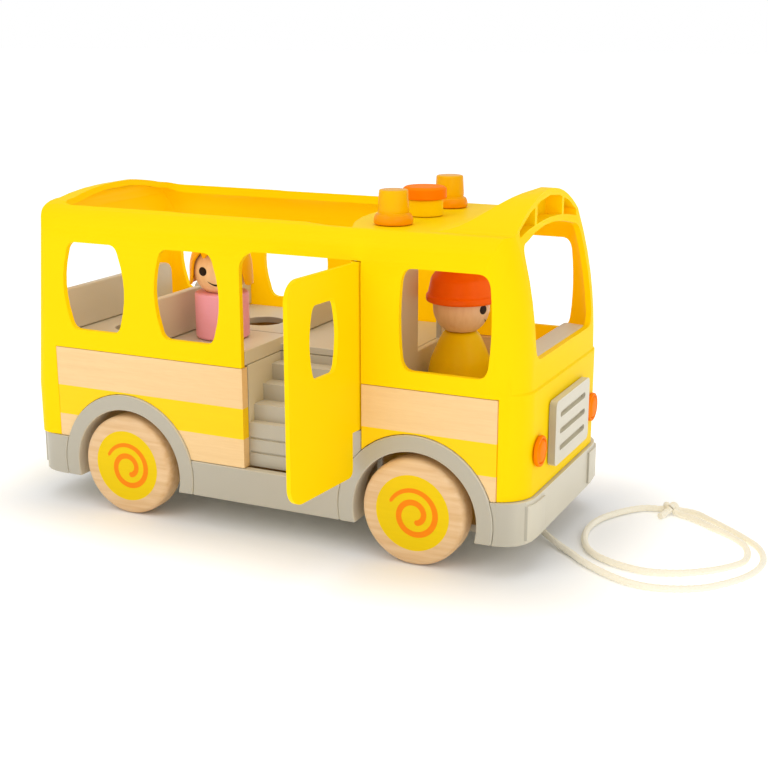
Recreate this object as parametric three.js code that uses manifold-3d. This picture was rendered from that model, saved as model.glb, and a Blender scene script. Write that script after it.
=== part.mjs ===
// Toy school bus with wood side panels, a hinged door, loose wooden peg figures and a pull cord.
// Millimetres, +X to the front, +Y to the left, +Z up. The door side is the right side, at -Y.
import * as THREE from 'three';
import { mergeVertices } from 'three/addons/utils/BufferGeometryUtils.js';
import Module from 'manifold-3d';

const wasm = await Module();
wasm.setup();

// Clearances
const FIT = 0.3;
const DOOR_GAP = 0.5;

// Heights above the floor
const GROUND_CLEARANCE = 15.5;
const SILL_TOP = 33;
const BUMPER_TOP = 35.7;
const CAB_FLOOR_TOP = 71;
const PANEL_TOP = 82.8;
const DECK_TOP = 87;
const WINDOW_BOTTOM = 92.6;
const WINDSCREEN_BOTTOM = 97;
const SEAT_BACK_TOP = 109;
const WINDOW_TOP = 136.4;
const DOOR_TOP = 138.6;
const ROOF_TOP = 151.8;

// Rises above the flat cab roof
const RAIL_RISE = 1;
const RAIL_REAR_RISE = 3.2;
const REAR_CROWN_RISE = 7.8;
const BROW_RISE = 15.8;

// Body
const PANEL_LENGTH = 238;
const PANEL_THICKNESS = 5;
const BODY_WIDTH = 118;
const WALL = 2.8;
const FRONT_OVERHANG = 12;
const REAR_OVERHANG = 16;
const FRONT_CORNER_RADIUS = 17;
const REAR_CORNER_RADIUS = 9;
const SHOULDER_DROP = 22;
const SHOULDER_RUN = 20;
const FRONT_CREASE = 84;
const FRONT_STEP = 0.8;
const FRONT_LEAN = 10;
const FRONT_LEAN_POWER = 2.2;
const REAR_CREASE = 62;
const REAR_LEAN = 7.6;
const REAR_EDGE_DROP = 9;
const REAR_EDGE_RUN = 9;
const REAR_ROOF_BAND = 9;
const RAIL_FALL_START = -88;
const RAIL_FALL_END = -45;
const ROOF_OPENING_WIDTH = 98;
const ROOF_OPENING_FRONT = 44;
const ROOF_OPENING_BOW = 12;
const ROOF_OPENING_CORNER = 8;
const REAR_SEAM = 115;
const FRONT_SEAM = 114;
const ROOF_SEAM = 46;

// Windows
const WINDOW_CORNER = 5.5;
const WINDOW_CORNER_SHARE = 0.15;
const WINDOW_TAPER_SHARE = 0.08;
const WINDOW_TAPER = 2.7;
const WINDOW_EASE = 1;
const REAR_WINDOW_CENTRE = -93.4;
const MIDDLE_WINDOW_CENTRE = -39.4;
const SIDE_WINDOW_WIDTH = 36.5;
const LEFT_REAR_WINDOW_CENTRE = -99.4;
const LEFT_MIDDLE_WINDOW_CENTRE = -44;
const LEFT_FRONT_WINDOW_CENTRE = 3.5;
const LEFT_WINDOW_WIDTH = 40;
const LEFT_FRONT_WINDOW_WIDTH = 26;
const LEFT_WINDOW_TOP = 134.2;
const CAB_WINDOW_CENTRE = 93.4;
const CAB_WINDOW_WIDTH = 43.4;
const CAB_WINDOW_BOTTOM = 91;
const CAB_WINDOW_TOP = 137;
const CAB_WINDOW_TAPER = 1;
const BACK_LIGHT_WIDTH = 80;
const WINDSCREEN_WIDTH = 82;
const WINDSCREEN_CROWN = 4;
const WINDSCREEN_HEIGHT = 55;
const WINDSCREEN_CORNER = 7;
const WINDSCREEN_TAPER = 1;
const WINDSCREEN_DEPTH = 19;

// Brow above the windscreen with its three moulded recesses
const BROW_START = 80;
const BROW_CREST = 116.5;
const BROW_CREST_EASE = 12;
const BROW_FOOT_EASE = 20;
const BROW_ARCH_HALF = 46;
const RECESS_DEPTH = 8;
const RECESS_LIP = 2.6;
const RECESS_HALF_WIDTH = 40;
const RECESS_RIB = 3;
const RECESS_RIB_OFFSET = 19;
const CREST_WALL = 3;
const CREST_END_WALL = 2;

// Door and its pins
const DOOR_REAR = -9.7;
const DOOR_FRONT = 53;
const DOOR_BOTTOM = 40;
const DOOR_CORNER = 9;
const DOOR_NOTCH_CORNER = 4;
const DOOR_OPEN_ANGLE = 85;
const DOOR_WINDOW_OFFSET = 31.5;
const DOOR_WINDOW_WIDTH = 22.5;
const DOOR_WINDOW_BOTTOM = 92.5;
const DOOR_WINDOW_TOP = 125;
const HINGE_POST_TOP = 60.3;
const DOOR_THICKNESS = 2.2;
const HINGE_INSET = 3;
const KNUCKLE_RADIUS = 2.25;
const HINGE_POST_WIDTH = 11;
const PIN_RADIUS = 1;
const PIN_REACH = 2.6;
const PIN_ROOT = 6;
const PIN_BOSS = 3.5;

// Chassis
const FLOOR_THICKNESS = 3.5;
const BUMPER_PROUD = 1.6;
const SKIRT_PROUD = 1;
const SKIRT_THICKNESS = 5;
const BUMPER_CORNER = 19;
const BUMPER_REACH = 40;
const PAD_PROUD = 1.1;
const PAD_INNER = 34;
const PAD_OUTER = 52;
const PAD_MARGIN = 2;
const ARCH_HEIGHT = 23.3;
const ARCH_INNER = 30.6;
const ARCH_OUTER = 38.4;
const ARCH_PROUD = 1.2;
const ARCH_DEPTH = 13.2;

// Wheels and axles
const FRONT_AXLE = 79.6;
const REAR_AXLE = -77.3;
const WHEEL_RADIUS = 25.4;
const WHEEL_WIDTH = 12.5;
const WHEEL_PROUD = 2.1;
const WHEEL_EDGE = 3;
const HUB_RADIUS = 5.4;
const HUB_LENGTH = 4.3;
const AXLE_RADIUS = 2.5;
const AXLE_ROOT = 9;
const BEARER_LENGTH = 20;
const BEARER_TOP = 33;
const SCREW_RADIUS = 1.4;
const SCREW_HEAD_RADIUS = 3;
const SCREW_HEAD_HEIGHT = 1.6;
const SCREW_LENGTH = 13;
const SCREW_OFFSET_X = 6;
const SCREW_MARGIN = 10;

// Interior
const DECK_THICKNESS = 3.4;
const DECK_MARGIN = 0.3;
const DECK_RIM_RISE = 3.4;
const DECK_RIM_WIDTH = 2.6;
const DECK_RIM_LAP = 7;
const AISLE_LINE_Y = -2.2;
const AISLE_LINE_WIDTH = 0.8;
const AISLE_LINE_DEPTH = 0.8;
const SOCKET_RADIUS = 11;
const SEAT_ROW_OFFSET = 20;
const SEAT_THICKNESS = 4;
const SEAT_CORNER = 7;
const AISLE_HALF = 3;
const REAR_BENCH_X = -125;
const MIDDLE_SEAT_X = -68;
const LEFT_SEAT_X = -76.5;
const FRONT_SEAT_X = -14.4;
const SEAT_TO_SOCKET = 24;
const FRONT_SOCKET_Y = 28;
const STEP_RISE = 8;
const STEP_RUN = 9;
const STEP_COUNT = 4;
const LOW_TREAD = 4.7;
const STAIR_PLATE = 3;
const STAIR_LANDING = 5;
const RISER_GROOVES = 2;
const RISER_GROOVE_HEIGHT = 1.2;
const RISER_GROOVE_DEPTH = 1;
const RISER_GROOVE_PITCH = 7;
const BULKHEAD_X = 55;
const BULKHEAD_THICKNESS = 3.2;
const BULKHEAD_GAP_RIGHT = -7;
const BULKHEAD_GAP_LEFT = 22;
const CAB_FLOOR_FRONT = 116;
const DASH_DEPTH = 12;
const DASH_HEIGHT = 8;
const DASH_WIDTH = 80;
const DASH_NOSE = 3;
const DASH_LIP = 0.5;

// Roof fittings
const BEACON_X = 57;
const BEACON_Y = 33;
const BEACON_FLANGE_RADIUS = 9;
const BEACON_FLANGE_HEIGHT = 4.6;
const BEACON_RADIUS = 7.2;
const BEACON_HEIGHT = 15.5;
const BEACON_TAPER = 0.5;
const BEACON_EDGE = 1.5;
const FLANGE_EDGE = 1;
const BUTTON_X = 58;
const BUTTON_RADIUS = 10.4;
const BUTTON_RISE = 14;
const BUTTON_SKIRT = 5.8;
const BUTTON_EDGE = 1.5;
const BUTTON_WALL = 1.3;
const BUTTON_CROWN = 1.8;
const BUTTON_TRAVEL = 3.5;
const BOSS_WALL = 2;
const SPRING_RADIUS = 4.5;
const SPRING_WALL = 1.2;

// Front fittings
const HEADLIGHT_RADIUS = 7.7;
const HEADLIGHT_PROUD = 2.6;
const HEADLIGHT_RIM_SHARE = 0.45;
const HEADLIGHT_DOME_SHARE = 0.85;
const HEADLIGHT_DOME_RADIUS_SHARE = 0.72;
const HEADLIGHT_Y = 39.3;
const HEADLIGHT_Z = 56;
const GRILLE_WIDTH = 51;
const GRILLE_BOTTOM = 44.4;
const GRILLE_TOP = 75.2;
const GRILLE_PROUD = 3.4;
const GRILLE_CORNER = 3;
const GRILLE_SLOTS = 3;
const GRILLE_SLOT_HEIGHT = 2.8;
const GRILLE_SLOT_LENGTH = 38;
const GRILLE_SLOT_DEPTH = 2.2;
const GRILLE_SLOT_PITCH = 8;

// Peg figures
const PEG_RADIUS = 10.3;
const PEG_HEIGHT = 12.5;
const PASSENGER_RADIUS = 13.5;
const PASSENGER_BODY_HEIGHT = 23.4;
const DRIVER_RADIUS = 16;
const DRIVER_BODY_HEIGHT = 27;
const NECK_RADIUS = 7.6;
const HEAD_RADIUS = 13.6;
const HEAD_SEAT = 0.82;
const HEAD_FOOT_ANGLE = 0.96;
const HAT_RADIUS = 17;
const HAT_CROWN = 8.6;
const HAIR_CROWN = 6;
const HAT_RIM = 14;
const HAIR_RIM = 5;
const FACE_FRONT_SHARE = 0.25;
const FACE_WIDTH_SHARE = 0.8;
const FRINGE_RISE = 2;
const HAT_BAND = 2;
const HAT_TAPER = 0.6;
const DRIVER_X = 77.5;
const DRIVER_TURN = 12;
const PASSENGER_TURN = -70;

// Pull cord
const CORD_RADIUS = 1.75;
const CORD_HOLE_RADIUS = 2.25;
const CORD_EXIT_X = 118;
const KNOT_RADIUS = 4.2;
const KNOT_HALF_HEIGHT = 3;
const KNOT_SHOULDER_SHARE = 0.75;
const KNOT_SHOULDER_HEIGHT_SHARE = 0.66;
const KNOT_X = 171;
const KNOT_Y = 55.8;
const CORD_SIDES = 8;
const CORD_STEP = 6;

const railTop = ROOF_TOP + RAIL_RISE;
const railRearTop = ROOF_TOP + RAIL_REAR_RISE;
const rearCrown = ROOF_TOP + REAR_CROWN_RISE;
const browTop = ROOF_TOP + BROW_RISE;
const windscreenTop = WINDSCREEN_BOTTOM + WINDSCREEN_HEIGHT;
const halfLength = PANEL_LENGTH / 2;
const halfWidth = BODY_WIDTH / 2;
const frontX = halfLength + FRONT_OVERHANG;
const rearX = -halfLength - REAR_OVERHANG;
const panelInner = halfWidth - PANEL_THICKNESS;
const innerHalf = panelInner - DECK_MARGIN;
const wallInner = halfWidth - WALL - FIT;
const floorTop = GROUND_CLEARANCE + FLOOR_THICKNESS;
const skirtOuter = halfWidth + SKIRT_PROUD;
const skirtInner = skirtOuter - SKIRT_THICKNESS;
const archInner = halfWidth + ARCH_PROUD - ARCH_DEPTH;
const hingeX = DOOR_FRONT - DOOR_GAP - HINGE_INSET;
const hingeY = HINGE_INSET - halfWidth;
const deckBottom = DECK_TOP - DECK_THICKNESS;
const stairTopNosing = LOW_TREAD + (STEP_COUNT - 1) * STEP_RUN - innerHalf;
const wheelFace = halfWidth + WHEEL_PROUD;
const REACH = 400;

const X_AXIS = new THREE.Vector3(1, 0, 0);
const Y_AXIS = new THREE.Vector3(0, 1, 0);
const Z_AXIS = new THREE.Vector3(0, 0, 1);

// A closed geometry as a solid that can be joined and cut.
function solid(geometry) {
  const bare = geometry.index ? geometry.toNonIndexed() : geometry.clone();
  bare.deleteAttribute('normal');
  bare.deleteAttribute('uv');
  const merged = mergeVertices(bare, 1e-4);
  const mesh = new wasm.Mesh({
    numProp: 3,
    vertProperties: new Float32Array(merged.attributes.position.array),
    triVerts: new Uint32Array(merged.index.array),
  });
  return new wasm.Manifold(mesh);
}

// The solid's triangles as a three.js geometry.
function geometryOf(body) {
  const mesh = body.getMesh();
  const geometry = new THREE.BufferGeometry();
  geometry.setAttribute('position', new THREE.BufferAttribute(new Float32Array(mesh.vertProperties), 3));
  geometry.setIndex(new THREE.BufferAttribute(new Uint32Array(mesh.triVerts), 1));
  geometry.computeVertexNormals();
  return geometry;
}

// A box given by its lowest and highest corners.
function block(low, high) {
  const size = high.map((value, i) => value - low[i]);
  const geometry = new THREE.BoxGeometry(...size);
  geometry.translate(...high.map((value, i) => (value + low[i]) / 2));
  return solid(geometry);
}

// An outline drawn in X and Y, carried up along Z.
function prismZ(shape, bottom, top, curveSegments = 6) {
  const depth = top - bottom;
  const geometry = new THREE.ExtrudeGeometry(shape, { depth, bevelEnabled: false, curveSegments });
  geometry.translate(0, 0, bottom);
  return solid(geometry);
}

// An outline drawn in X and Z, carried along Y.
function prismY(shape, from, to, curveSegments = 6) {
  const geometry = new THREE.ExtrudeGeometry(shape, { depth: to - from, bevelEnabled: false, curveSegments });
  geometry.applyMatrix4(new THREE.Matrix4().makeBasis(X_AXIS, Z_AXIS, Y_AXIS.clone().negate()));
  geometry.translate(0, to, 0);
  return solid(geometry);
}

// An outline drawn in Y and Z, carried along X.
function prismX(shape, from, to, curveSegments = 6) {
  const geometry = new THREE.ExtrudeGeometry(shape, { depth: to - from, bevelEnabled: false, curveSegments });
  geometry.applyMatrix4(new THREE.Matrix4().makeBasis(Y_AXIS, Z_AXIS, X_AXIS));
  geometry.translate(from, 0, 0);
  return solid(geometry);
}

// A turned piece: [radius, height] points that start and end on the axis or close on themselves.
function turned(profile, segments = 22) {
  const points = profile.map(([radius, height]) => new THREE.Vector2(radius, height));
  const geometry = new THREE.LatheGeometry(points, segments);
  geometry.rotateX(Math.PI / 2);
  return geometry;
}

// A cylinder along Z between two heights.
function cylinderZ(x, y, radius, bottom, top, segments = 22) {
  const geometry = new THREE.CylinderGeometry(radius, radius, top - bottom, segments);
  geometry.rotateX(Math.PI / 2);
  geometry.translate(x, y, (bottom + top) / 2);
  return solid(geometry);
}

// A cylinder along Y between two places.
function cylinderY(x, z, radius, from, to, segments = 40) {
  const geometry = new THREE.CylinderGeometry(radius, radius, to - from, segments);
  geometry.translate(x, (from + to) / 2, z);
  return solid(geometry);
}

function roundedRectangle(left, bottom, right, top, radius) {
  const shape = new THREE.Shape();
  shape.moveTo(left + radius, bottom);
  shape.lineTo(right - radius, bottom);
  shape.absarc(right - radius, bottom + radius, radius, -Math.PI / 2, 0);
  shape.lineTo(right, top - radius);
  shape.absarc(right - radius, top - radius, radius, 0, Math.PI / 2);
  shape.lineTo(left + radius, top);
  shape.absarc(left + radius, top - radius, radius, Math.PI / 2, Math.PI);
  shape.lineTo(left, bottom + radius);
  shape.absarc(left + radius, bottom + radius, radius, Math.PI, Math.PI * 1.5);
  return shape;
}

// A window whose sides swell outwards between small round corners.
function barrelWindow(centre, width, bottom, top, taper = WINDOW_TAPER) {
  const half = width / 2;
  const corner = Math.min(WINDOW_CORNER, width * WINDOW_CORNER_SHARE);
  const end = half - Math.min(taper, width * WINDOW_TAPER_SHARE);
  const flat = end - corner;
  const swell = 2 * half - end;
  const middle = (bottom + top) / 2;
  const shape = new THREE.Shape();
  shape.moveTo(centre - flat, bottom);
  shape.lineTo(centre + flat, bottom);
  shape.quadraticCurveTo(centre + end - WINDOW_EASE, bottom, centre + end, bottom + corner);
  shape.quadraticCurveTo(centre + swell, middle, centre + end, top - corner);
  shape.quadraticCurveTo(centre + end - WINDOW_EASE, top, centre + flat, top);
  shape.lineTo(centre - flat, top);
  shape.quadraticCurveTo(centre - end + WINDOW_EASE, top, centre - end, top - corner);
  shape.quadraticCurveTo(centre - swell, middle, centre - end, bottom + corner);
  shape.quadraticCurveTo(centre - end + WINDOW_EASE, bottom, centre - flat, bottom);
  return shape;
}

function plastic(color) {
  return new THREE.MeshStandardMaterial({ color, roughness: 0.38, metalness: 0 });
}

function wood(color) {
  return new THREE.MeshStandardMaterial({ color, roughness: 0.55, metalness: 0 });
}

function steel() {
  return new THREE.MeshStandardMaterial({ color: 0xb8bcc0, roughness: 0.3, metalness: 1 });
}

function cotton() {
  return new THREE.MeshStandardMaterial({ color: 0xf7efd6, roughness: 0.9, metalness: 0 });
}

const YELLOW = 0xffdc00;
const GREY = 0xcfc8b8;
const BEECH = 0xf2cf98;
const AMBER = 0xf9b000;
const ORANGE = 0xff7800;
const RED_ORANGE = 0xff5a00;
const PINK = 0xf5a8d0;

// Everything is placed above the floor. The model's own origin is the middle of the chassis underside.
const bus = new THREE.Group();
bus.position.z = -GROUND_CLEARANCE;
const model = new THREE.Group();
model.add(bus);

function add(name, shape, material, parent = bus) {
  const geometry = shape.isBufferGeometry ? shape : geometryOf(shape);
  const mesh = new THREE.Mesh(geometry, material);
  mesh.name = name;
  parent.add(mesh);
  return mesh;
}

// Body shell
// How far the front stands in from its lowest part: a small step at the crease,
// then a growing lean to the roof.
function frontLean(height) {
  const share = Math.min(1, Math.max(0, (height - FRONT_CREASE) / (ROOF_TOP - FRONT_CREASE)));
  const step = Math.min(FRONT_STEP, Math.max(0, height - FRONT_CREASE));
  return step + FRONT_LEAN * share ** FRONT_LEAN_POWER;
}

// The rear wall leans in evenly above its own crease.
function rearLean(height) {
  return REAR_LEAN * Math.max(0, (height - REAR_CREASE) / (ROOF_TOP - REAR_CREASE));
}

// A stack of rounded plan outlines, one for each height, skinned and capped.
function leaningBlock(inset) {
  const heights = [BUMPER_TOP, REAR_CREASE, FRONT_CREASE, FRONT_CREASE + FRONT_STEP];
  const levels = 7;
  for (let level = 1; level <= levels; level += 1) {
    heights.push(FRONT_CREASE + FRONT_STEP + (ROOF_TOP - FRONT_CREASE - FRONT_STEP) * level / levels);
  }
  heights.push(browTop + BROW_RISE);
  const rings = heights.map((height) => {
    const outline = new THREE.Shape();
    const front = frontX - frontLean(height) - inset;
    const rear = rearX + rearLean(height) + inset;
    const half = halfWidth - inset;
    const frontRadius = FRONT_CORNER_RADIUS - inset;
    const rearRadius = REAR_CORNER_RADIUS - inset;
    outline.absarc(front - frontRadius, half - frontRadius, frontRadius, 0, Math.PI / 2);
    outline.absarc(rear + rearRadius, half - rearRadius, rearRadius, Math.PI / 2, Math.PI);
    outline.absarc(rear + rearRadius, rearRadius - half, rearRadius, Math.PI, Math.PI * 1.5);
    outline.absarc(front - frontRadius, frontRadius - half, frontRadius, Math.PI * 1.5, Math.PI * 2);
    return outline.getPoints(6).slice(0, -1).map((point) => [point.x, point.y, height]);
  });
  const count = rings[0].length;
  const triangles = [];
  for (let level = 0; level + 1 < rings.length; level += 1) {
    for (let i = 0; i < count; i += 1) {
      const a = level * count + i;
      const b = level * count + (i + 1) % count;
      triangles.push(a, b, b + count, a, b + count, a + count);
    }
  }
  const top = (rings.length - 1) * count;
  for (let i = 1; i + 1 < count; i += 1) {
    triangles.push(0, i + 1, i, top, top + i, top + i + 1);
  }
  const geometry = new THREE.BufferGeometry();
  geometry.setAttribute('position', new THREE.Float32BufferAttribute(rings.flat(2), 3));
  geometry.setIndex(triangles);
  return solid(geometry);
}

// Cross section of the body: upright sides, broad round shoulders and a low crown.
function crossSection(inset) {
  const half = halfWidth - inset;
  const rail = railRearTop - inset;
  const crown = 2 * rearCrown - railRearTop - inset;
  const shape = new THREE.Shape();
  shape.moveTo(-half, 0);
  shape.lineTo(half, 0);
  shape.lineTo(half, rail - SHOULDER_DROP);
  shape.quadraticCurveTo(half, rail, half - SHOULDER_RUN, rail);
  shape.quadraticCurveTo(0, crown, SHOULDER_RUN - half, rail);
  shape.quadraticCurveTo(-half, rail, -half, rail - SHOULDER_DROP);
  return prismX(shape, -REACH, REACH, 10);
}

// Side view of the roof: crowned rear wall, rails that fall a little behind it and a flat cab roof.
function roofLine(inset) {
  const rearTop = rearX + rearLean(ROOF_TOP) + inset;
  const crown = rearCrown - inset;
  const cabStart = ROOF_OPENING_FRONT - ROOF_OPENING_BOW;
  const shape = new THREE.Shape();
  shape.moveTo(-REACH, 0);
  shape.lineTo(-REACH, crown - REAR_EDGE_DROP);
  shape.lineTo(rearTop, crown - REAR_EDGE_DROP);
  shape.quadraticCurveTo(rearTop, crown, rearTop + REAR_EDGE_RUN, crown);
  shape.lineTo(RAIL_FALL_START, crown);
  shape.lineTo(RAIL_FALL_START, railRearTop - inset);
  shape.lineTo(RAIL_FALL_END, railTop - inset);
  shape.lineTo(cabStart - ROOF_OPENING_BOW, railTop - inset);
  shape.lineTo(cabStart, ROOF_TOP - inset);
  shape.lineTo(REACH, ROOF_TOP - inset);
  shape.lineTo(REACH, 0);
  return prismY(shape, -REACH, REACH, 5);
}

// The roof rises at the front into an arched brow, a parabola across the bus.
function browArch(y) {
  return browTop - BROW_RISE * (y / BROW_ARCH_HALF) ** 2;
}

function browSection() {
  const foot = browArch(BROW_ARCH_HALF);
  const shoulder = railRearTop - SHOULDER_DROP;
  const ease = ROOF_TOP - RAIL_REAR_RISE;
  const shape = new THREE.Shape();
  shape.moveTo(-halfWidth, 0);
  shape.lineTo(halfWidth, 0);
  shape.lineTo(halfWidth, shoulder);
  shape.quadraticCurveTo(halfWidth, ease, BROW_ARCH_HALF, foot);
  shape.quadraticCurveTo(0, 2 * browTop - foot, -BROW_ARCH_HALF, foot);
  shape.quadraticCurveTo(-halfWidth, ease, -halfWidth, shoulder);
  return prismX(shape, -REACH, REACH, 14);
}

function browLine() {
  const shape = new THREE.Shape();
  const low = ROOF_TOP - WALL;
  shape.moveTo(BROW_START, low);
  shape.lineTo(REACH, low);
  shape.lineTo(REACH, browTop);
  shape.lineTo(BROW_CREST, browTop);
  shape.bezierCurveTo(
    BROW_CREST - BROW_CREST_EASE, browTop, BROW_START + BROW_FOOT_EASE, ROOF_TOP, BROW_START, ROOF_TOP);
  return prismY(shape, -REACH, REACH, 12);
}

function roofOpening() {
  const half = ROOF_OPENING_WIDTH / 2;
  const rear = rearX + rearLean(ROOF_TOP) + REAR_ROOF_BAND;
  const shape = new THREE.Shape();
  shape.moveTo(rear, -half + ROOF_OPENING_CORNER);
  shape.quadraticCurveTo(rear, -half, rear + ROOF_OPENING_CORNER, -half);
  shape.lineTo(ROOF_OPENING_FRONT, -half);
  shape.quadraticCurveTo(ROOF_OPENING_FRONT - 2 * ROOF_OPENING_BOW, 0, ROOF_OPENING_FRONT, half);
  shape.lineTo(rear + ROOF_OPENING_CORNER, half);
  shape.quadraticCurveTo(rear, half, rear, half - ROOF_OPENING_CORNER);
  return prismZ(shape, WINDOW_TOP, REACH);
}

function windscreen() {
  const half = WINDSCREEN_WIDTH / 2;
  const upper = half - WINDSCREEN_TAPER;
  const corner = WINDSCREEN_CORNER;
  const side = windscreenTop - WINDSCREEN_CROWN;
  const shape = new THREE.Shape();
  shape.moveTo(corner - half, WINDSCREEN_BOTTOM);
  shape.lineTo(half - corner, WINDSCREEN_BOTTOM);
  shape.quadraticCurveTo(half, WINDSCREEN_BOTTOM, half, WINDSCREEN_BOTTOM + corner);
  shape.lineTo(upper, side - corner);
  shape.quadraticCurveTo(upper, side, upper - corner, side);
  shape.quadraticCurveTo(0, 2 * windscreenTop - side, corner - upper, side);
  shape.quadraticCurveTo(-upper, side, -upper, side - corner);
  shape.lineTo(-half, WINDSCREEN_BOTTOM + corner);
  shape.quadraticCurveTo(-half, WINDSCREEN_BOTTOM, corner - half, WINDSCREEN_BOTTOM);
  return prismX(shape, frontX - WINDSCREEN_DEPTH, REACH, 5);
}

// Three recesses between the lip over the windscreen and the crest of the brow.
function browRecesses() {
  const lip = windscreenTop + RECESS_LIP;
  const foot = lip - WINDSCREEN_CROWN;
  const crest = browTop - CREST_WALL;
  const ends = browArch(RECESS_HALF_WIDTH) - CREST_END_WALL;
  const shape = new THREE.Shape();
  shape.moveTo(-RECESS_HALF_WIDTH, foot);
  shape.quadraticCurveTo(0, 2 * lip - foot, RECESS_HALF_WIDTH, foot);
  shape.lineTo(RECESS_HALF_WIDTH, ends);
  shape.quadraticCurveTo(0, 2 * crest - ends, -RECESS_HALF_WIDTH, ends);
  const recessFront = frontX - frontLean(browTop);
  let recesses = prismX(shape, recessFront - RECESS_DEPTH, REACH, 6);
  for (const side of [-1, 1]) {
    const centre = side * RECESS_RIB_OFFSET;
    recesses = recesses.subtract(block(
      [-REACH, centre - RECESS_RIB / 2, 0], [REACH, centre + RECESS_RIB / 2, REACH]));
  }
  return recesses;
}

function doorOpening() {
  const shape = new THREE.Shape();
  shape.moveTo(DOOR_REAR, 0);
  shape.lineTo(DOOR_FRONT, 0);
  shape.lineTo(DOOR_FRONT, DOOR_TOP);
  shape.absarc(DOOR_REAR + DOOR_CORNER, DOOR_TOP - DOOR_CORNER, DOOR_CORNER, Math.PI / 2, Math.PI);
  return prismY(shape, -REACH, 0);
}

const sideBlock = leaningBlock(0);
let shell = sideBlock.intersect(crossSection(0)).intersect(roofLine(0));
shell = shell.add(sideBlock.intersect(browSection()).intersect(browLine()));
shell = shell.subtract(leaningBlock(WALL).intersect(crossSection(WALL)).intersect(roofLine(WALL)));
shell = shell.subtract(block([-REACH, -REACH, 0], [REACH, REACH, BUMPER_TOP + FIT]));
shell = shell.subtract(block([-halfLength, -REACH, 0], [halfLength, REACH, PANEL_TOP]));
shell = shell.subtract(roofOpening());
shell = shell.subtract(windscreen());
shell = shell.subtract(browRecesses());
shell = shell.subtract(doorOpening());
const cabWindow = barrelWindow(
  CAB_WINDOW_CENTRE, CAB_WINDOW_WIDTH, CAB_WINDOW_BOTTOM, CAB_WINDOW_TOP, CAB_WINDOW_TAPER);
shell = shell.subtract(prismY(cabWindow, -REACH, REACH));
for (const centre of [REAR_WINDOW_CENTRE, MIDDLE_WINDOW_CENTRE]) {
  const opening = barrelWindow(centre, SIDE_WINDOW_WIDTH, WINDOW_BOTTOM, WINDOW_TOP);
  shell = shell.subtract(prismY(opening, -REACH, 0));
}
const leftWindows = [
  [LEFT_REAR_WINDOW_CENTRE, LEFT_WINDOW_WIDTH],
  [LEFT_MIDDLE_WINDOW_CENTRE, LEFT_WINDOW_WIDTH],
  [LEFT_FRONT_WINDOW_CENTRE, LEFT_FRONT_WINDOW_WIDTH],
];
for (const [centre, width] of leftWindows) {
  const opening = barrelWindow(centre, width, WINDOW_BOTTOM, LEFT_WINDOW_TOP);
  shell = shell.subtract(prismY(opening, 0, REACH));
}
const backLight = barrelWindow(0, BACK_LIGHT_WIDTH, WINDOW_BOTTOM, WINDOW_TOP);
shell = shell.subtract(prismX(backLight, -REACH, rearX / 2));
const bossRoom = block(
  [hingeX - PIN_BOSS, -REACH, DOOR_TOP],
  [hingeX + PIN_BOSS, hingeY + PIN_BOSS, DOOR_TOP + PIN_REACH + PIN_BOSS]);
shell = shell.add(sideBlock.intersect(crossSection(0)).intersect(bossRoom));
const pinHole = PIN_RADIUS + FIT;
shell = shell.subtract(cylinderZ(hingeX, hingeY, pinHole, DOOR_TOP - FIT, DOOR_TOP + PIN_REACH + FIT, 16));

// One moulding, held here as its walls: rear wall, two sides, cab roof and front.
const shellRegions = {
  rear_wall: [[-REACH, -REACH, 0], [-REAR_SEAM, REACH, REACH]],
  side_wall_right: [[-REAR_SEAM, -REACH, 0], [FRONT_SEAM, -ROOF_SEAM, REACH]],
  side_wall_left: [[-REAR_SEAM, ROOF_SEAM, 0], [FRONT_SEAM, REACH, REACH]],
  cab_roof: [[-REAR_SEAM, -ROOF_SEAM, 0], [FRONT_SEAM, ROOF_SEAM, REACH]],
  front_fascia: [[FRONT_SEAM, -REACH, 0], [REACH, REACH, REACH]],
};
for (const [name, [low, high]] of Object.entries(shellRegions)) {
  add(name, shell.intersect(block(low, high)), plastic(YELLOW));
}

// Chassis: floor, bumpers, sills and wheel arches
function archCut(axleX) {
  return cylinderY(axleX, ARCH_HEIGHT, ARCH_OUTER + FIT, -REACH, REACH, 48);
}

// Room for the wheel arch on one side of the interior.
function wheelHouse(axleX, side) {
  const near = side * (archInner - FIT);
  const far = side * REACH;
  return cylinderY(axleX, ARCH_HEIGHT, ARCH_OUTER + FIT, Math.min(near, far), Math.max(near, far), 48);
}

function bumperOutline(end, half, radius) {
  const start = Math.sign(end) * (Math.abs(end) - BUMPER_REACH);
  const side = Math.sign(end);
  const shape = new THREE.Shape();
  shape.moveTo(start, -half);
  shape.lineTo(end - side * radius, -half);
  shape.quadraticCurveTo(end, -half, end, radius - half);
  shape.lineTo(end, half - radius);
  shape.quadraticCurveTo(end, half, end - side * radius, half);
  shape.lineTo(start, half);
  return shape;
}

function bumper(end, axleX) {
  const side = Math.sign(end);
  const outer = prismZ(bumperOutline(end, skirtOuter, BUMPER_CORNER), GROUND_CLEARANCE, BUMPER_TOP);
  const inner = prismZ(
    bumperOutline(end - side * SKIRT_THICKNESS, skirtInner, BUMPER_CORNER - SKIRT_THICKNESS), 0, REACH);
  const padOutline = bumperOutline(end + side * PAD_PROUD, skirtOuter + PAD_PROUD, BUMPER_CORNER + PAD_PROUD);
  let pads = prismZ(padOutline, GROUND_CLEARANCE + PAD_MARGIN, BUMPER_TOP - PAD_MARGIN);
  pads = pads.intersect(block([-REACH, -PAD_OUTER, 0], [REACH, PAD_OUTER, REACH]));
  pads = pads.subtract(block([-REACH, -PAD_INNER, 0], [REACH, PAD_INNER, REACH]));
  return outer.add(pads).subtract(inner).subtract(archCut(axleX));
}

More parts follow.
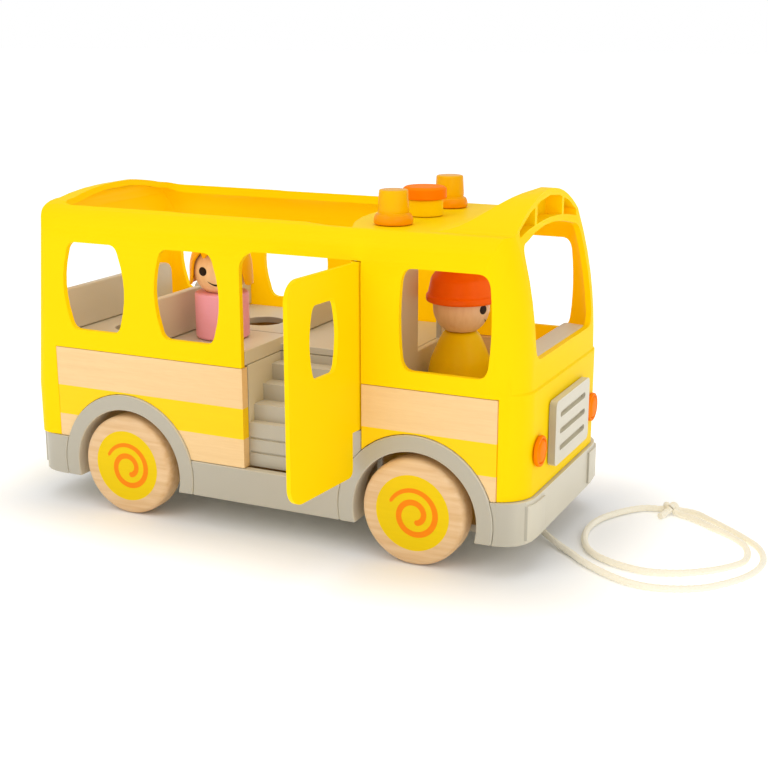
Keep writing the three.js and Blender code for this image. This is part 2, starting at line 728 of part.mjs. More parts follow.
add('front_bumper', bumper(frontX + BUMPER_PROUD, FRONT_AXLE), plastic(GREY));
add('rear_bumper', bumper(rearX - BUMPER_PROUD, REAR_AXLE), plastic(GREY));

const floorInset = SKIRT_THICKNESS + FIT - BUMPER_PROUD;
const floorHalf = skirtInner - FIT;
let floor = prismZ(
  roundedRectangle(rearX + floorInset, -floorHalf, frontX - floorInset, floorHalf, BUMPER_CORNER),
  GROUND_CLEARANCE, floorTop, 4);
for (const axleX of [FRONT_AXLE, REAR_AXLE]) {
  for (const side of [-1, 1]) {
    const near = side * (archInner - FIT);
    const far = side * REACH;
    floor = floor.subtract(block(
      [axleX - ARCH_OUTER - FIT, Math.min(near, far), 0],
      [axleX + ARCH_OUTER + FIT, Math.max(near, far), REACH]));
  }
}
floor = floor.subtract(cylinderZ(CORD_EXIT_X, 0, CORD_HOLE_RADIUS, 0, REACH, 16));

function archTrim(axleX, side) {
  const drop = ARCH_HEIGHT - GROUND_CLEARANCE;
  const outerDip = Math.asin(drop / ARCH_OUTER);
  const innerDip = Math.asin(drop / ARCH_INNER);
  const shape = new THREE.Shape();
  shape.absarc(axleX, ARCH_HEIGHT, ARCH_OUTER, -outerDip, Math.PI + outerDip);
  shape.absarc(axleX, ARCH_HEIGHT, ARCH_INNER, Math.PI + innerDip, -innerDip, true);
  const outer = side * (halfWidth + ARCH_PROUD);
  const inner = side * archInner;
  return prismY(shape, Math.min(outer, inner), Math.max(outer, inner), 18);
}

for (const [end, axleX] of [['front', FRONT_AXLE], ['rear', REAR_AXLE]]) {
  add(`arch_${end}_right`, archTrim(axleX, -1), plastic(GREY));
  add(`arch_${end}_left`, archTrim(axleX, 1), plastic(GREY));
}

for (const [name, side] of [['right', -1], ['left', 1]]) {
  const outer = side * skirtOuter;
  const inner = side * skirtInner;
  let sill = block(
    [REAR_AXLE, Math.min(outer, inner), GROUND_CLEARANCE], [FRONT_AXLE, Math.max(outer, inner), SILL_TOP]);
  for (const axleX of [FRONT_AXLE, REAR_AXLE]) {
    sill = sill.subtract(archCut(axleX));
    sill = sill.subtract(block([axleX - ARCH_INNER, -REACH, 0], [axleX + ARCH_INNER, REACH, REACH]));
  }
  add(`sill_${name}`, sill, plastic(GREY));
}

// Wood side panels, let in flush between the shell, the sills and the wheel arches
function sidePanel(rear, front, side) {
  const outer = side * halfWidth;
  const inner = side * panelInner;
  let panel = block(
    [rear, Math.min(outer, inner), SILL_TOP + FIT], [front, Math.max(outer, inner), PANEL_TOP - FIT]);
  panel = panel.subtract(archCut(FRONT_AXLE)).subtract(archCut(REAR_AXLE));
  panel = panel.subtract(block([FRONT_AXLE, -REACH, 0], [REACH, REACH, BUMPER_TOP + FIT]));
  return panel.subtract(block([-REACH, -REACH, 0], [REAR_AXLE, REACH, BUMPER_TOP + FIT]));
}

add('panel_right_rear', sidePanel(FIT - halfLength, DOOR_REAR, -1), wood(BEECH));
add('panel_right_front', sidePanel(DOOR_FRONT, halfLength - FIT, -1), wood(BEECH));
add('panel_left', sidePanel(FIT - halfLength, halfLength - FIT, 1), wood(BEECH));

// Lower door bearing, standing on the front wheel arch
const postFront = DOOR_FRONT - FIT;
const postRear = postFront - HINGE_POST_WIDTH;
let hingePost = block([postRear, -halfWidth, SILL_TOP + FIT], [postFront, -panelInner, HINGE_POST_TOP]);
hingePost = hingePost.subtract(archCut(FRONT_AXLE));
hingePost = hingePost.subtract(cylinderZ(
  hingeX, hingeY, pinHole, HINGE_POST_TOP - PIN_REACH - FIT, REACH, 16));
add('hinge_post', hingePost, plastic(GREY));

// Door, drawn shut about its hinge line and then swung open
const doorRear = DOOR_REAR + FIT - hingeX;
const notchFront = -Math.hypot(hingeX - postRear, HINGE_INSET) - FIT;
const doorTop = DOOR_TOP - DOOR_GAP;
const notchTop = HINGE_POST_TOP + DOOR_GAP;

function doorOutline() {
  const shape = new THREE.Shape();
  shape.moveTo(doorRear + DOOR_CORNER, DOOR_BOTTOM);
  shape.lineTo(notchFront - DOOR_NOTCH_CORNER, DOOR_BOTTOM);
  shape.quadraticCurveTo(notchFront, DOOR_BOTTOM, notchFront, DOOR_BOTTOM + DOOR_NOTCH_CORNER);
  shape.lineTo(notchFront, notchTop);
  shape.lineTo(0, notchTop);
  shape.lineTo(0, doorTop);
  shape.lineTo(doorRear + DOOR_CORNER, doorTop);
  shape.absarc(doorRear + DOOR_CORNER, doorTop - DOOR_CORNER, DOOR_CORNER, Math.PI / 2, Math.PI);
  shape.lineTo(doorRear, DOOR_BOTTOM + DOOR_CORNER);
  shape.absarc(doorRear + DOOR_CORNER, DOOR_BOTTOM + DOOR_CORNER, DOOR_CORNER, Math.PI, Math.PI * 1.5);
  return shape;
}

const doorHinge = new THREE.Group();
doorHinge.position.set(hingeX, hingeY, 0);
doorHinge.rotation.z = THREE.MathUtils.degToRad(DOOR_OPEN_ANGLE);
bus.add(doorHinge);

const doorWindow = barrelWindow(-DOOR_WINDOW_OFFSET, DOOR_WINDOW_WIDTH, DOOR_WINDOW_BOTTOM, DOOR_WINDOW_TOP);
let door = prismY(doorOutline(), -HINGE_INSET, DOOR_THICKNESS - HINGE_INSET);
door = door.subtract(prismY(doorWindow, -REACH, REACH));
door = door.add(cylinderZ(0, 0, KNUCKLE_RADIUS, notchTop, doorTop, 32));
door = door.subtract(cylinderZ(0, 0, pinHole, doorTop - PIN_ROOT - FIT, REACH, 16));
door = door.subtract(cylinderZ(0, 0, pinHole, 0, notchTop + PIN_ROOT + FIT, 16));
add('door', door, plastic(YELLOW), doorHinge);
const topPin = cylinderZ(0, 0, PIN_RADIUS, doorTop - PIN_ROOT, DOOR_TOP + PIN_REACH, 16);
add('door_pin_top', topPin, steel(), doorHinge);
add('door_pin_bottom',
  cylinderZ(0, 0, PIN_RADIUS, HINGE_POST_TOP - PIN_REACH, notchTop + PIN_ROOT, 16), steel(), doorHinge);

// Interior: seat deck with its round peg sockets
const rearInner = rearX + rearLean(DECK_TOP) + WALL + FIT;
const rearSocketX = REAR_BENCH_X + SEAT_THICKNESS + SEAT_TO_SOCKET;
const middleSocketX = MIDDLE_SEAT_X + SEAT_TO_SOCKET;
const frontSocketX = FRONT_SEAT_X + SEAT_TO_SOCKET;
const sockets = [
  [rearSocketX, -SEAT_ROW_OFFSET], [rearSocketX, SEAT_ROW_OFFSET],
  [middleSocketX, -SEAT_ROW_OFFSET], [middleSocketX, SEAT_ROW_OFFSET],
  [frontSocketX, FRONT_SOCKET_Y],
];
const stairRear = DOOR_REAR + FIT;
let deck = block([rearInner, -wallInner, deckBottom], [BULKHEAD_X - FIT, wallInner, DECK_TOP]);
deck = deck.subtract(block([stairRear, -REACH, 0], [REACH, stairTopNosing, REACH]));
for (const [x, y] of sockets) {
  deck = deck.subtract(cylinderZ(x, y, SOCKET_RADIUS, 0, REACH, 24));
}
const rimRear = stairRear - DECK_RIM_WIDTH;
const aisleRear = MIDDLE_SEAT_X + SEAT_THICKNESS;
deck = deck.subtract(block(
  [aisleRear, AISLE_LINE_Y, DECK_TOP - AISLE_LINE_DEPTH], [rimRear, AISLE_LINE_Y + AISLE_LINE_WIDTH, REACH]));
const deckCorner = prismZ(
  roundedRectangle(rearInner, -wallInner, REACH, wallInner, REAR_CORNER_RADIUS), 0, REACH);
const deckRim = block(
  [rimRear, -wallInner, deckBottom], [stairRear, stairTopNosing + DECK_RIM_LAP, DECK_TOP + DECK_RIM_RISE]);
add('seat_deck', deck.intersect(deckCorner).add(deckRim), plastic(GREY));

// Seat backs with round top corners
function seatBack(x, from, to, top) {
  const corner = Math.min(SEAT_CORNER, (to - from) / 3);
  const shape = new THREE.Shape();
  shape.moveTo(from, DECK_TOP + FIT);
  shape.lineTo(to, DECK_TOP + FIT);
  shape.lineTo(to, top - corner);
  shape.quadraticCurveTo(to, top, to - corner, top);
  shape.lineTo(from + corner, top);
  shape.quadraticCurveTo(from, top, from, top - corner);
  return prismX(shape, x, x + SEAT_THICKNESS, 6);
}

const benchHalf = innerHalf - REAR_CORNER_RADIUS / 2;
add('rear_bench_back', seatBack(REAR_BENCH_X, -benchHalf, benchHalf, SEAT_BACK_TOP), plastic(GREY));
add('seat_back_right', seatBack(MIDDLE_SEAT_X, -wallInner, -AISLE_HALF, SEAT_BACK_TOP), plastic(GREY));
add('seat_back_left', seatBack(LEFT_SEAT_X, AISLE_HALF, wallInner, SEAT_BACK_TOP), plastic(GREY));
add('seat_back_front', seatBack(FRONT_SEAT_X, AISLE_HALF, wallInner, SEAT_BACK_TOP), plastic(GREY));

// Entrance stairs: a folded plate of treads and risers from the door up to the deck
function stairProfile() {
  const lowTread = DECK_TOP - STEP_COUNT * STEP_RISE;
  const foot = SILL_TOP + FIT;
  const back = stairTopNosing - FIT;
  const landing = deckBottom - FIT;
  const nosings = [-innerHalf];
  for (let step = STEP_COUNT - 1; step >= 1; step -= 1) {
    nosings.push(stairTopNosing - step * STEP_RUN);
  }
  nosings.push(back);
  const outer = [[nosings[0], foot]];
  for (let step = 0; step < STEP_COUNT; step += 1) {
    const tread = lowTread + step * STEP_RISE;
    outer.push([nosings[step], tread], [nosings[step + 1], tread]);
  }
  outer.push([back, landing], [back + STAIR_LANDING, landing]);
  const inner = outer.map(([y, z]) => [y + STAIR_PLATE, z - STAIR_PLATE]);
  inner[0][1] = foot;
  inner[inner.length - 1][0] = back + STAIR_LANDING;
  const points = [...outer, ...inner.reverse()].map(([y, z]) => new THREE.Vector2(y, z));
  return new THREE.Shape(points);
}

const treads = prismX(stairProfile(), stairRear, BULKHEAD_X - FIT);
const stairWall = block(
  [FRONT_SEAT_X, -innerHalf, SILL_TOP + FIT],
  [stairRear, stairTopNosing + STAIR_LANDING - FIT, deckBottom - FIT]);
let stairs = treads.add(stairWall).subtract(wheelHouse(FRONT_AXLE, -1));
for (let groove = 1; groove <= RISER_GROOVES; groove += 1) {
  const top = DECK_TOP - STEP_COUNT * STEP_RISE - groove * RISER_GROOVE_PITCH;
  stairs = stairs.subtract(block(
    [stairRear, -REACH, top - RISER_GROOVE_HEIGHT], [REACH, RISER_GROOVE_DEPTH - innerHalf, top]));
}
add('stairs', stairs, plastic(GREY));

// Bulkhead behind the driver, cab floor and dashboard
const bulkheadFront = BULKHEAD_X + BULKHEAD_THICKNESS;
let bulkhead = block([BULKHEAD_X, -innerHalf, SILL_TOP + FIT], [bulkheadFront, innerHalf, DOOR_TOP]);
bulkhead = bulkhead.add(block(
  [BULKHEAD_X, -wallInner, PANEL_TOP + FIT], [bulkheadFront, wallInner, DOOR_TOP]));
bulkhead = bulkhead.subtract(block(
  [-REACH, BULKHEAD_GAP_RIGHT, DECK_TOP], [REACH, BULKHEAD_GAP_LEFT, REACH]));
bulkhead = bulkhead.subtract(wheelHouse(FRONT_AXLE, -1)).subtract(wheelHouse(FRONT_AXLE, 1));
bulkhead = bulkhead.intersect(crossSection(WALL + FIT));
add('bulkhead', bulkhead, plastic(GREY));
const cabRear = bulkheadFront + FIT;
let cabFloor = block(
  [cabRear, -innerHalf, CAB_FLOOR_TOP - DECK_THICKNESS], [CAB_FLOOR_FRONT, innerHalf, CAB_FLOOR_TOP]);
cabFloor = cabFloor.subtract(cylinderZ(DRIVER_X, 0, SOCKET_RADIUS, 0, REACH, 24));
add('cab_floor', cabFloor, plastic(GREY));
const dashFront = frontX - frontLean(WINDSCREEN_BOTTOM) - WALL - FIT;
const dashRear = dashFront - DASH_DEPTH;
const dashShape = new THREE.Shape();
dashShape.moveTo(dashFront, WINDSCREEN_BOTTOM - DASH_HEIGHT);
dashShape.lineTo(dashFront, WINDSCREEN_BOTTOM);
dashShape.lineTo(dashRear + DASH_NOSE, WINDSCREEN_BOTTOM + DASH_LIP);
dashShape.quadraticCurveTo(dashRear, WINDSCREEN_BOTTOM + DASH_LIP, dashRear, WINDSCREEN_BOTTOM - DASH_NOSE);
dashShape.lineTo(dashRear, WINDSCREEN_BOTTOM - DASH_HEIGHT);
add('dashboard', prismY(dashShape, -DASH_WIDTH / 2, DASH_WIDTH / 2), plastic(GREY));

// Roof fittings: two amber beacons and the sprung horn button between them
const beaconProfile = [
  [0, 0], [BEACON_FLANGE_RADIUS, 0], [BEACON_FLANGE_RADIUS, BEACON_FLANGE_HEIGHT - FLANGE_EDGE],
  [BEACON_FLANGE_RADIUS - FLANGE_EDGE, BEACON_FLANGE_HEIGHT], [BEACON_RADIUS, BEACON_FLANGE_HEIGHT],
  [BEACON_RADIUS - BEACON_TAPER, BEACON_HEIGHT - BEACON_EDGE],
  [BEACON_RADIUS - BEACON_TAPER - BEACON_EDGE, BEACON_HEIGHT], [0, BEACON_HEIGHT],
];
for (const [name, side] of [['right', -1], ['left', 1]]) {
  const beacon = add(`beacon_${name}`, turned(beaconProfile), plastic(AMBER));
  beacon.position.set(BEACON_X, side * BEACON_Y, ROOF_TOP + FIT);
}

const buttonTop = ROOF_TOP + BUTTON_RISE;
const skirtBottom = buttonTop - BUTTON_SKIRT;
const capInside = buttonTop - BUTTON_CROWN;
const bossTop = capInside - BUTTON_TRAVEL - 2 * FIT;
const bossRadius = BUTTON_RADIUS - BUTTON_WALL - FIT;
const bossBase = ROOF_TOP + FIT;
const boss = add('button_boss', turned([
  [bossRadius - BOSS_WALL, bossBase], [bossRadius, bossBase], [bossRadius, bossTop],
  [bossRadius - BOSS_WALL, bossTop], [bossRadius - BOSS_WALL, bossBase],
]), plastic(YELLOW));
boss.position.x = BUTTON_X;
const button = add('horn_button', turned([
  [0, capInside], [BUTTON_RADIUS - BUTTON_WALL, capInside], [BUTTON_RADIUS - BUTTON_WALL, skirtBottom],
  [BUTTON_RADIUS, skirtBottom], [BUTTON_RADIUS, buttonTop - BUTTON_EDGE],
  [BUTTON_RADIUS - BUTTON_EDGE, buttonTop],
  [0, buttonTop],
]), plastic(ORANGE));
button.position.x = BUTTON_X;
const spring = add('button_spring', turned([
  [SPRING_RADIUS - SPRING_WALL, bossBase], [SPRING_RADIUS, bossBase], [SPRING_RADIUS, capInside - FIT],
  [SPRING_RADIUS - SPRING_WALL, capInside - FIT], [SPRING_RADIUS - SPRING_WALL, bossBase],
], 20), steel());
spring.position.x = BUTTON_X;

// Front fittings: headlights and slotted grille
const headlightProfile = [
  [0, 0], [HEADLIGHT_RADIUS, 0], [HEADLIGHT_RADIUS, HEADLIGHT_PROUD * HEADLIGHT_RIM_SHARE],
  [HEADLIGHT_RADIUS * HEADLIGHT_DOME_RADIUS_SHARE, HEADLIGHT_PROUD * HEADLIGHT_DOME_SHARE], [0, HEADLIGHT_PROUD],
];
for (const [name, side] of [['right', -1], ['left', 1]]) {
  const lamp = add(`headlight_${name}`, turned(headlightProfile, 24), plastic(ORANGE));
  lamp.rotation.y = Math.PI / 2;
  lamp.position.set(frontX + FIT, side * HEADLIGHT_Y, HEADLIGHT_Z);
}
const grilleHalf = GRILLE_WIDTH / 2;
let grille = prismX(
  roundedRectangle(-grilleHalf, GRILLE_BOTTOM, grilleHalf, GRILLE_TOP, GRILLE_CORNER),
  frontX + FIT, frontX + FIT + GRILLE_PROUD, 5);
const grilleMiddle = (GRILLE_BOTTOM + GRILLE_TOP) / 2;
for (let slot = 0; slot < GRILLE_SLOTS; slot += 1) {
  const centre = grilleMiddle + (slot - (GRILLE_SLOTS - 1) / 2) * GRILLE_SLOT_PITCH;
  const outline = roundedRectangle(
    -GRILLE_SLOT_LENGTH / 2, centre - GRILLE_SLOT_HEIGHT / 2,
    GRILLE_SLOT_LENGTH / 2, centre + GRILLE_SLOT_HEIGHT / 2, GRILLE_SLOT_HEIGHT / 2);
  grille = grille.subtract(prismX(outline, frontX + FIT + GRILLE_PROUD - GRILLE_SLOT_DEPTH, REACH, 5));
}
add('grille', grille, plastic(GREY));

// Wheels on steel axles, carried by bearers screwed to the chassis floor
const wheelInner = wheelFace - WHEEL_WIDTH;
const hubInner = wheelInner - HUB_LENGTH;
const bearerHalf = hubInner - FIT;
const boreRadius = AXLE_RADIUS + FIT;
const boreEnd = wheelInner + AXLE_ROOT;
const rim = WHEEL_RADIUS - WHEEL_EDGE;
const bevel = WHEEL_EDGE * 0.3;
const wheelProfile = [
  [0, boreEnd], [boreRadius, boreEnd], [boreRadius, hubInner],
  [HUB_RADIUS, hubInner], [HUB_RADIUS, wheelInner],
  [rim, wheelInner], [WHEEL_RADIUS - bevel, wheelInner + bevel], [WHEEL_RADIUS, wheelInner + WHEEL_EDGE],
  [WHEEL_RADIUS, wheelFace - WHEEL_EDGE], [WHEEL_RADIUS - bevel, wheelFace - bevel], [rim, wheelFace],
  [0, wheelFace],
];
for (const [end, axleX] of [['front', FRONT_AXLE], ['rear', REAR_AXLE]]) {
  for (const [name, side] of [['right', -1], ['left', 1]]) {
    const wheel = add(`wheel_${end}_${name}`, turned(wheelProfile, 32), wood(BEECH));
    wheel.rotation.x = -side * Math.PI / 2;
    wheel.position.set(axleX, 0, WHEEL_RADIUS);
  }
  const axleEnd = boreEnd - FIT;
  add(`axle_${end}`, cylinderY(axleX, WHEEL_RADIUS, AXLE_RADIUS, -axleEnd, axleEnd, 20), steel());
  let bearer = block(
    [axleX - BEARER_LENGTH / 2, -bearerHalf, floorTop + FIT],
    [axleX + BEARER_LENGTH / 2, bearerHalf, BEARER_TOP]);
  bearer = bearer.subtract(cylinderY(axleX, WHEEL_RADIUS, boreRadius, -REACH, REACH, 20));
  for (const side of [-1, 1]) {
    const screwX = axleX + side * SCREW_OFFSET_X;
    const screwY = side * (bearerHalf - SCREW_MARGIN);
    const headBottom = GROUND_CLEARANCE + FIT;
    const headTop = headBottom + SCREW_HEAD_HEIGHT;
    const tip = headBottom + SCREW_LENGTH;
    const head = cylinderZ(screwX, screwY, SCREW_HEAD_RADIUS, headBottom, headTop, 16);
    const shank = cylinderZ(screwX, screwY, SCREW_RADIUS, headTop - FIT, tip, 12);
    add(`screw_${end}_${side < 0 ? 'right' : 'left'}`, head.add(shank), steel());
    const hole = cylinderZ(screwX, screwY, SCREW_RADIUS + FIT, 0, tip + FIT, 16);
    floor = floor.subtract(hole);
    floor = floor.subtract(cylinderZ(screwX, screwY, SCREW_HEAD_RADIUS + FIT, 0, headTop + FIT, 20));
    bearer = bearer.subtract(hole);
  }
  add(`axle_bearer_${end}`, bearer, plastic(GREY));
}
add('chassis_floor', floor, plastic(GREY));

// Peg figures, each a turned body with a wooden head and a moulded hat or hair
function pegBody(radius, height, shoulder) {
  return turned([
    [0, -PEG_HEIGHT], [PEG_RADIUS - 1, -PEG_HEIGHT], [PEG_RADIUS, 1 - PEG_HEIGHT], [PEG_RADIUS, FIT],
    [radius - 1.2, FIT], [radius, FIT + 1.2], ...shoulder, [NECK_RADIUS, height], [0, height],
  ]);
}

function headProfile(bottom) {
  const centre = bottom + HEAD_RADIUS * HEAD_SEAT;
  const points = [];
  for (let i = 0; i <= 7; i += 1) {
    const angle = i * (HEAD_FOOT_ANGLE + Math.PI / 2) / 7 - HEAD_FOOT_ANGLE;
    points.push([Math.max(0, HEAD_RADIUS * Math.cos(angle)), centre + HEAD_RADIUS * Math.sin(angle)]);
  }
  return [[0, points[0][1]], ...points.slice(0, -1), [0, centre + HEAD_RADIUS]];
}

// A cap over the head: outer dome, rim and an inside that clears the head.
function capProfile(bottom, rimZ, crown) {
  const centre = bottom + HEAD_RADIUS * HEAD_SEAT;
  const inside = HEAD_RADIUS + FIT;
  const top = centre + HEAD_RADIUS + crown;
  const rimInside = Math.sqrt(Math.max(0.1, inside ** 2 - (rimZ - centre) ** 2));
  const dome = rimZ + HAT_BAND;
  const outer = [[HAT_RADIUS, rimZ], [HAT_RADIUS, dome]];
  for (let i = 1; i <= 6; i += 1) {
    const angle = i * Math.PI / 12;
    outer.push([(HAT_RADIUS - HAT_TAPER) * Math.cos(angle), dome + (top - dome) * Math.sin(angle)]);
  }
  const inner = [];
  for (let i = 0; i <= 7; i += 1) {
    const start = Math.asin((rimZ - centre) / inside);
    const angle = start + (Math.PI / 2 - start) * i / 7;
    inner.push([inside * Math.cos(angle), centre + inside * Math.sin(angle)]);
  }
  inner[0][0] = rimInside;
  inner[7][0] = 0;
  outer[outer.length - 1][0] = 0;
  return [...inner.reverse(), ...outer];
}

function pegFigure(name, x, y, seat, bodyHeight, radius, shoulder, colours) {
  const figure = new THREE.Group();
  figure.position.set(x, y, seat);
  bus.add(figure);
  add(`${name}_body`, pegBody(radius, bodyHeight, shoulder), wood(colours.body), figure);
  const headBottom = bodyHeight + FIT;
  add(`${name}_head`, turned(headProfile(headBottom)), wood(BEECH), figure);
  return { figure, headBottom };
}

const driver = pegFigure('driver', DRIVER_X, 0, CAB_FLOOR_TOP, DRIVER_BODY_HEIGHT, DRIVER_RADIUS, [
  [DRIVER_RADIUS, 4], [DRIVER_RADIUS * 0.92, DRIVER_BODY_HEIGHT * 0.45],
  [NECK_RADIUS + 3, DRIVER_BODY_HEIGHT * 0.86], [NECK_RADIUS + 1, DRIVER_BODY_HEIGHT - 1],
], { body: YELLOW });
const driverHat = turned(capProfile(driver.headBottom, driver.headBottom + HAT_RIM, HAT_CROWN));
add('driver_hat', driverHat, plastic(RED_ORANGE), driver.figure);
driver.figure.rotation.z = THREE.MathUtils.degToRad(DRIVER_TURN);

const passenger = pegFigure('passenger', middleSocketX, -SEAT_ROW_OFFSET, DECK_TOP, PASSENGER_BODY_HEIGHT,
  PASSENGER_RADIUS, [
    [PASSENGER_RADIUS, PASSENGER_BODY_HEIGHT - 4], [PASSENGER_RADIUS - 1.2, PASSENGER_BODY_HEIGHT - 1.2],
    [PASSENGER_RADIUS - 4, PASSENGER_BODY_HEIGHT],
  ], { body: PINK });

// Hair covers the head like a cap and hangs lower at the sides and back, open over the face at the front.
const hairRim = passenger.headBottom + HAIR_RIM;
const hairCap = solid(turned(capProfile(passenger.headBottom, hairRim, HAIR_CROWN)));
const faceOpening = block(
  [HEAD_RADIUS * FACE_FRONT_SHARE, -HEAD_RADIUS * FACE_WIDTH_SHARE, 0],
  [REACH, HEAD_RADIUS * FACE_WIDTH_SHARE, passenger.headBottom + HAT_RIM + FRINGE_RISE]);
add('passenger_hair', hairCap.subtract(faceOpening), plastic(YELLOW), passenger.figure);
passenger.figure.rotation.z = THREE.MathUtils.degToRad(PASSENGER_TURN);

// Pull cord: a lead from the chassis, a knot, and the hand loop tied in its end
const leadRoute = [
  [CORD_EXIT_X, 0, floorTop + KNOT_HALF_HEIGHT], [CORD_EXIT_X, 0, GROUND_CLEARANCE], [118.2, -0.2, 11.2],
  [119.2, -1, 8.1], [121.9, -3.2, 4.9], [125.6, -6.2, 3.5], [130, -9.7, 2.7], [136, -14.6, 2.1],
  [143, -20.2, CORD_RADIUS],
  [149.5, -26.4, CORD_RADIUS], [159, -33.4, CORD_RADIUS], [168.8, -38.9, CORD_RADIUS],
  [178, -41.9, CORD_RADIUS],
  [187, -42, CORD_RADIUS], [196.8, -39, CORD_RADIUS], [206, -33.6, CORD_RADIUS], [214.4, -24.1, CORD_RADIUS],
  [221, -13, CORD_RADIUS], [224.6, -1, CORD_RADIUS], [224.6, 11, CORD_RADIUS], [220, 24, CORD_RADIUS],
  [212, 33.4, CORD_RADIUS], [201.5, 43, CORD_RADIUS], [191.7, 51, CORD_RADIUS], [183, 57.4, CORD_RADIUS],
  [175.6, 58.2, CORD_RADIUS],
];
const loopRoute = [
  [165.8, 56.4, CORD_RADIUS], [158.6, 54.4, CORD_RADIUS], [151.6, 47.4, CORD_RADIUS],
  [146.2, 38.8, CORD_RADIUS],
  [142, 29, CORD_RADIUS], [140.2, 16.8, CORD_RADIUS], [141.8, 3.4, CORD_RADIUS], [146.6, -9, CORD_RADIUS],
  [153, -16.8, CORD_RADIUS], [161, -21.7, CORD_RADIUS], [170, -24.8, CORD_RADIUS], [180, -25.8, CORD_RADIUS],
  [192, -22, CORD_RADIUS], [202, -15.4, CORD_RADIUS], [211, -6.2, CORD_RADIUS], [216.8, 4, CORD_RADIUS],
  [216.6, 15.6, CORD_RADIUS], [212.4, 25.8, CORD_RADIUS], [205, 33.6, CORD_RADIUS], [196, 40, CORD_RADIUS],
  [187.4, 46.8, CORD_RADIUS], [180.6, 51, CORD_RADIUS], [175.6, 53.2, CORD_RADIUS],
];

function cordTube(route) {
  const stations = route.map((point) => new THREE.Vector3(...point));
  const curve = new THREE.CatmullRomCurve3(stations, false, 'centripetal');
  const section = new THREE.Shape();
  for (let i = 0; i < CORD_SIDES; i += 1) {
    const angle = (i + 0.5) * 2 * Math.PI / CORD_SIDES;
    const point = [CORD_RADIUS * Math.cos(angle), CORD_RADIUS * Math.sin(angle)];
    if (i === 0) {
      section.moveTo(...point);
    } else {
      section.lineTo(...point);
    }
  }
  const steps = Math.round(curve.getLength() / CORD_STEP);
  return new THREE.ExtrudeGeometry(section, { steps, extrudePath: curve });
}

const knotShoulder = KNOT_RADIUS * KNOT_SHOULDER_SHARE;
const knotShoulderHeight = KNOT_HALF_HEIGHT * KNOT_SHOULDER_HEIGHT_SHARE;
const knotProfile = [
  [0, -KNOT_HALF_HEIGHT], [knotShoulder, -knotShoulderHeight], [KNOT_RADIUS, 0],
  [knotShoulder, knotShoulderHeight], [0, KNOT_HALF_HEIGHT],
];
const anchor = turned(knotProfile, 14);
anchor.translate(CORD_EXIT_X, 0, floorTop + KNOT_HALF_HEIGHT + FIT);
add('cord_lead', solid(cordTube(leadRoute)).add(solid(anchor)), cotton());
add('cord_loop', cordTube(loopRoute), cotton());
const knot = add('cord_knot', turned(knotProfile, 14), cotton());
knot.position.set(KNOT_X, KNOT_Y, KNOT_HALF_HEIGHT);

export default model;
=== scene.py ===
import math

import bmesh
import bpy
import numpy as np
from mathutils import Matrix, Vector


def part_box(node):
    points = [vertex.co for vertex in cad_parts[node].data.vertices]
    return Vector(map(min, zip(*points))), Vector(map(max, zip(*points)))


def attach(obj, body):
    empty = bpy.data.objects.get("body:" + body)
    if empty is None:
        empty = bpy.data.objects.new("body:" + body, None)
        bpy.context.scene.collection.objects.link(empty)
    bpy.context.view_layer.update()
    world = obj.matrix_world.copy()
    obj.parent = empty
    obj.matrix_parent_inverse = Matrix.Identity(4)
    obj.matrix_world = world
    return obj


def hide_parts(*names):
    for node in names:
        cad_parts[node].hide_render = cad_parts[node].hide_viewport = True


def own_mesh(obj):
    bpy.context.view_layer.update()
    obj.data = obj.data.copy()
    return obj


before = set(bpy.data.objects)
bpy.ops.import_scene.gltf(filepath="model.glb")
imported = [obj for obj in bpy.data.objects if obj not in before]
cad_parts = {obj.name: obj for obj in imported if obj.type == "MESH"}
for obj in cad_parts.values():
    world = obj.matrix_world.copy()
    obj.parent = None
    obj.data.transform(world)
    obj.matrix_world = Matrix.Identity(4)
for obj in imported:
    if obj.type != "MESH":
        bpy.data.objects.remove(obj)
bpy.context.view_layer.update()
scene = bpy.context.scene
MM = 0.001
GROUND = -15.5 * MM


# Camera, three quarters from the front on the door side and a little above the windows.
# The bus stands still on the floor and nothing is out of focus.
YAW = math.radians(25.338)
PITCH = math.radians(15.0985)
DISTANCE = 670.646 * MM
AIM_RIGHT = 33.095 * MM
AIM_UP = -17.331 * MM
AIM_HEIGHT = 80 * MM + GROUND
camera_right = Vector((math.cos(YAW), math.sin(YAW), 0))
camera_back = Vector((math.sin(YAW) * math.cos(PITCH), -math.cos(YAW) * math.cos(PITCH), math.sin(PITCH)))
camera_up = camera_back.cross(camera_right)
camera_data = bpy.data.cameras.new("camera")
camera_data.sensor_width = 36
camera_data.lens = 61.93
camera_data.clip_start = 0.01
camera = bpy.data.objects.new("camera", camera_data)
camera.location = (Vector((0, 0, AIM_HEIGHT)) + AIM_RIGHT * camera_right + AIM_UP * camera_up
                   + DISTANCE * camera_back)
camera.rotation_euler = (math.pi / 2 - PITCH, 0, YAW)
scene.collection.objects.link(camera)
scene.camera = camera


# Studio: a wide white table under large soft lights, so that shadows are pale and have no edge.
# The lights stand left of the camera, right of it and overhead.
scene.view_settings.view_transform = "Standard"


def linear(code):
    """An sRGB hex colour such as ffdc00 as linear red, green, blue and alpha."""
    srgb = np.array([int(code[i:i + 2], 16) for i in (0, 2, 4)]) / 255
    rgb = np.where(srgb <= 0.04045, srgb / 12.92, ((srgb + 0.055) / 1.055) ** 2.4)
    return (*rgb.tolist(), 1.0)


def put(tree, kind, inputs=None, **settings):
    """Adds a node. Settings are its properties; inputs are values or sockets for its input sockets."""
    made = tree.nodes.new(kind)
    for key, value in settings.items():
        setattr(made, key, value)
    for key, value in (inputs or {}).items():
        if isinstance(value, bpy.types.NodeSocket):
            tree.links.new(value, made.inputs[key])
        else:
            made.inputs[key].default_value = value
    return made


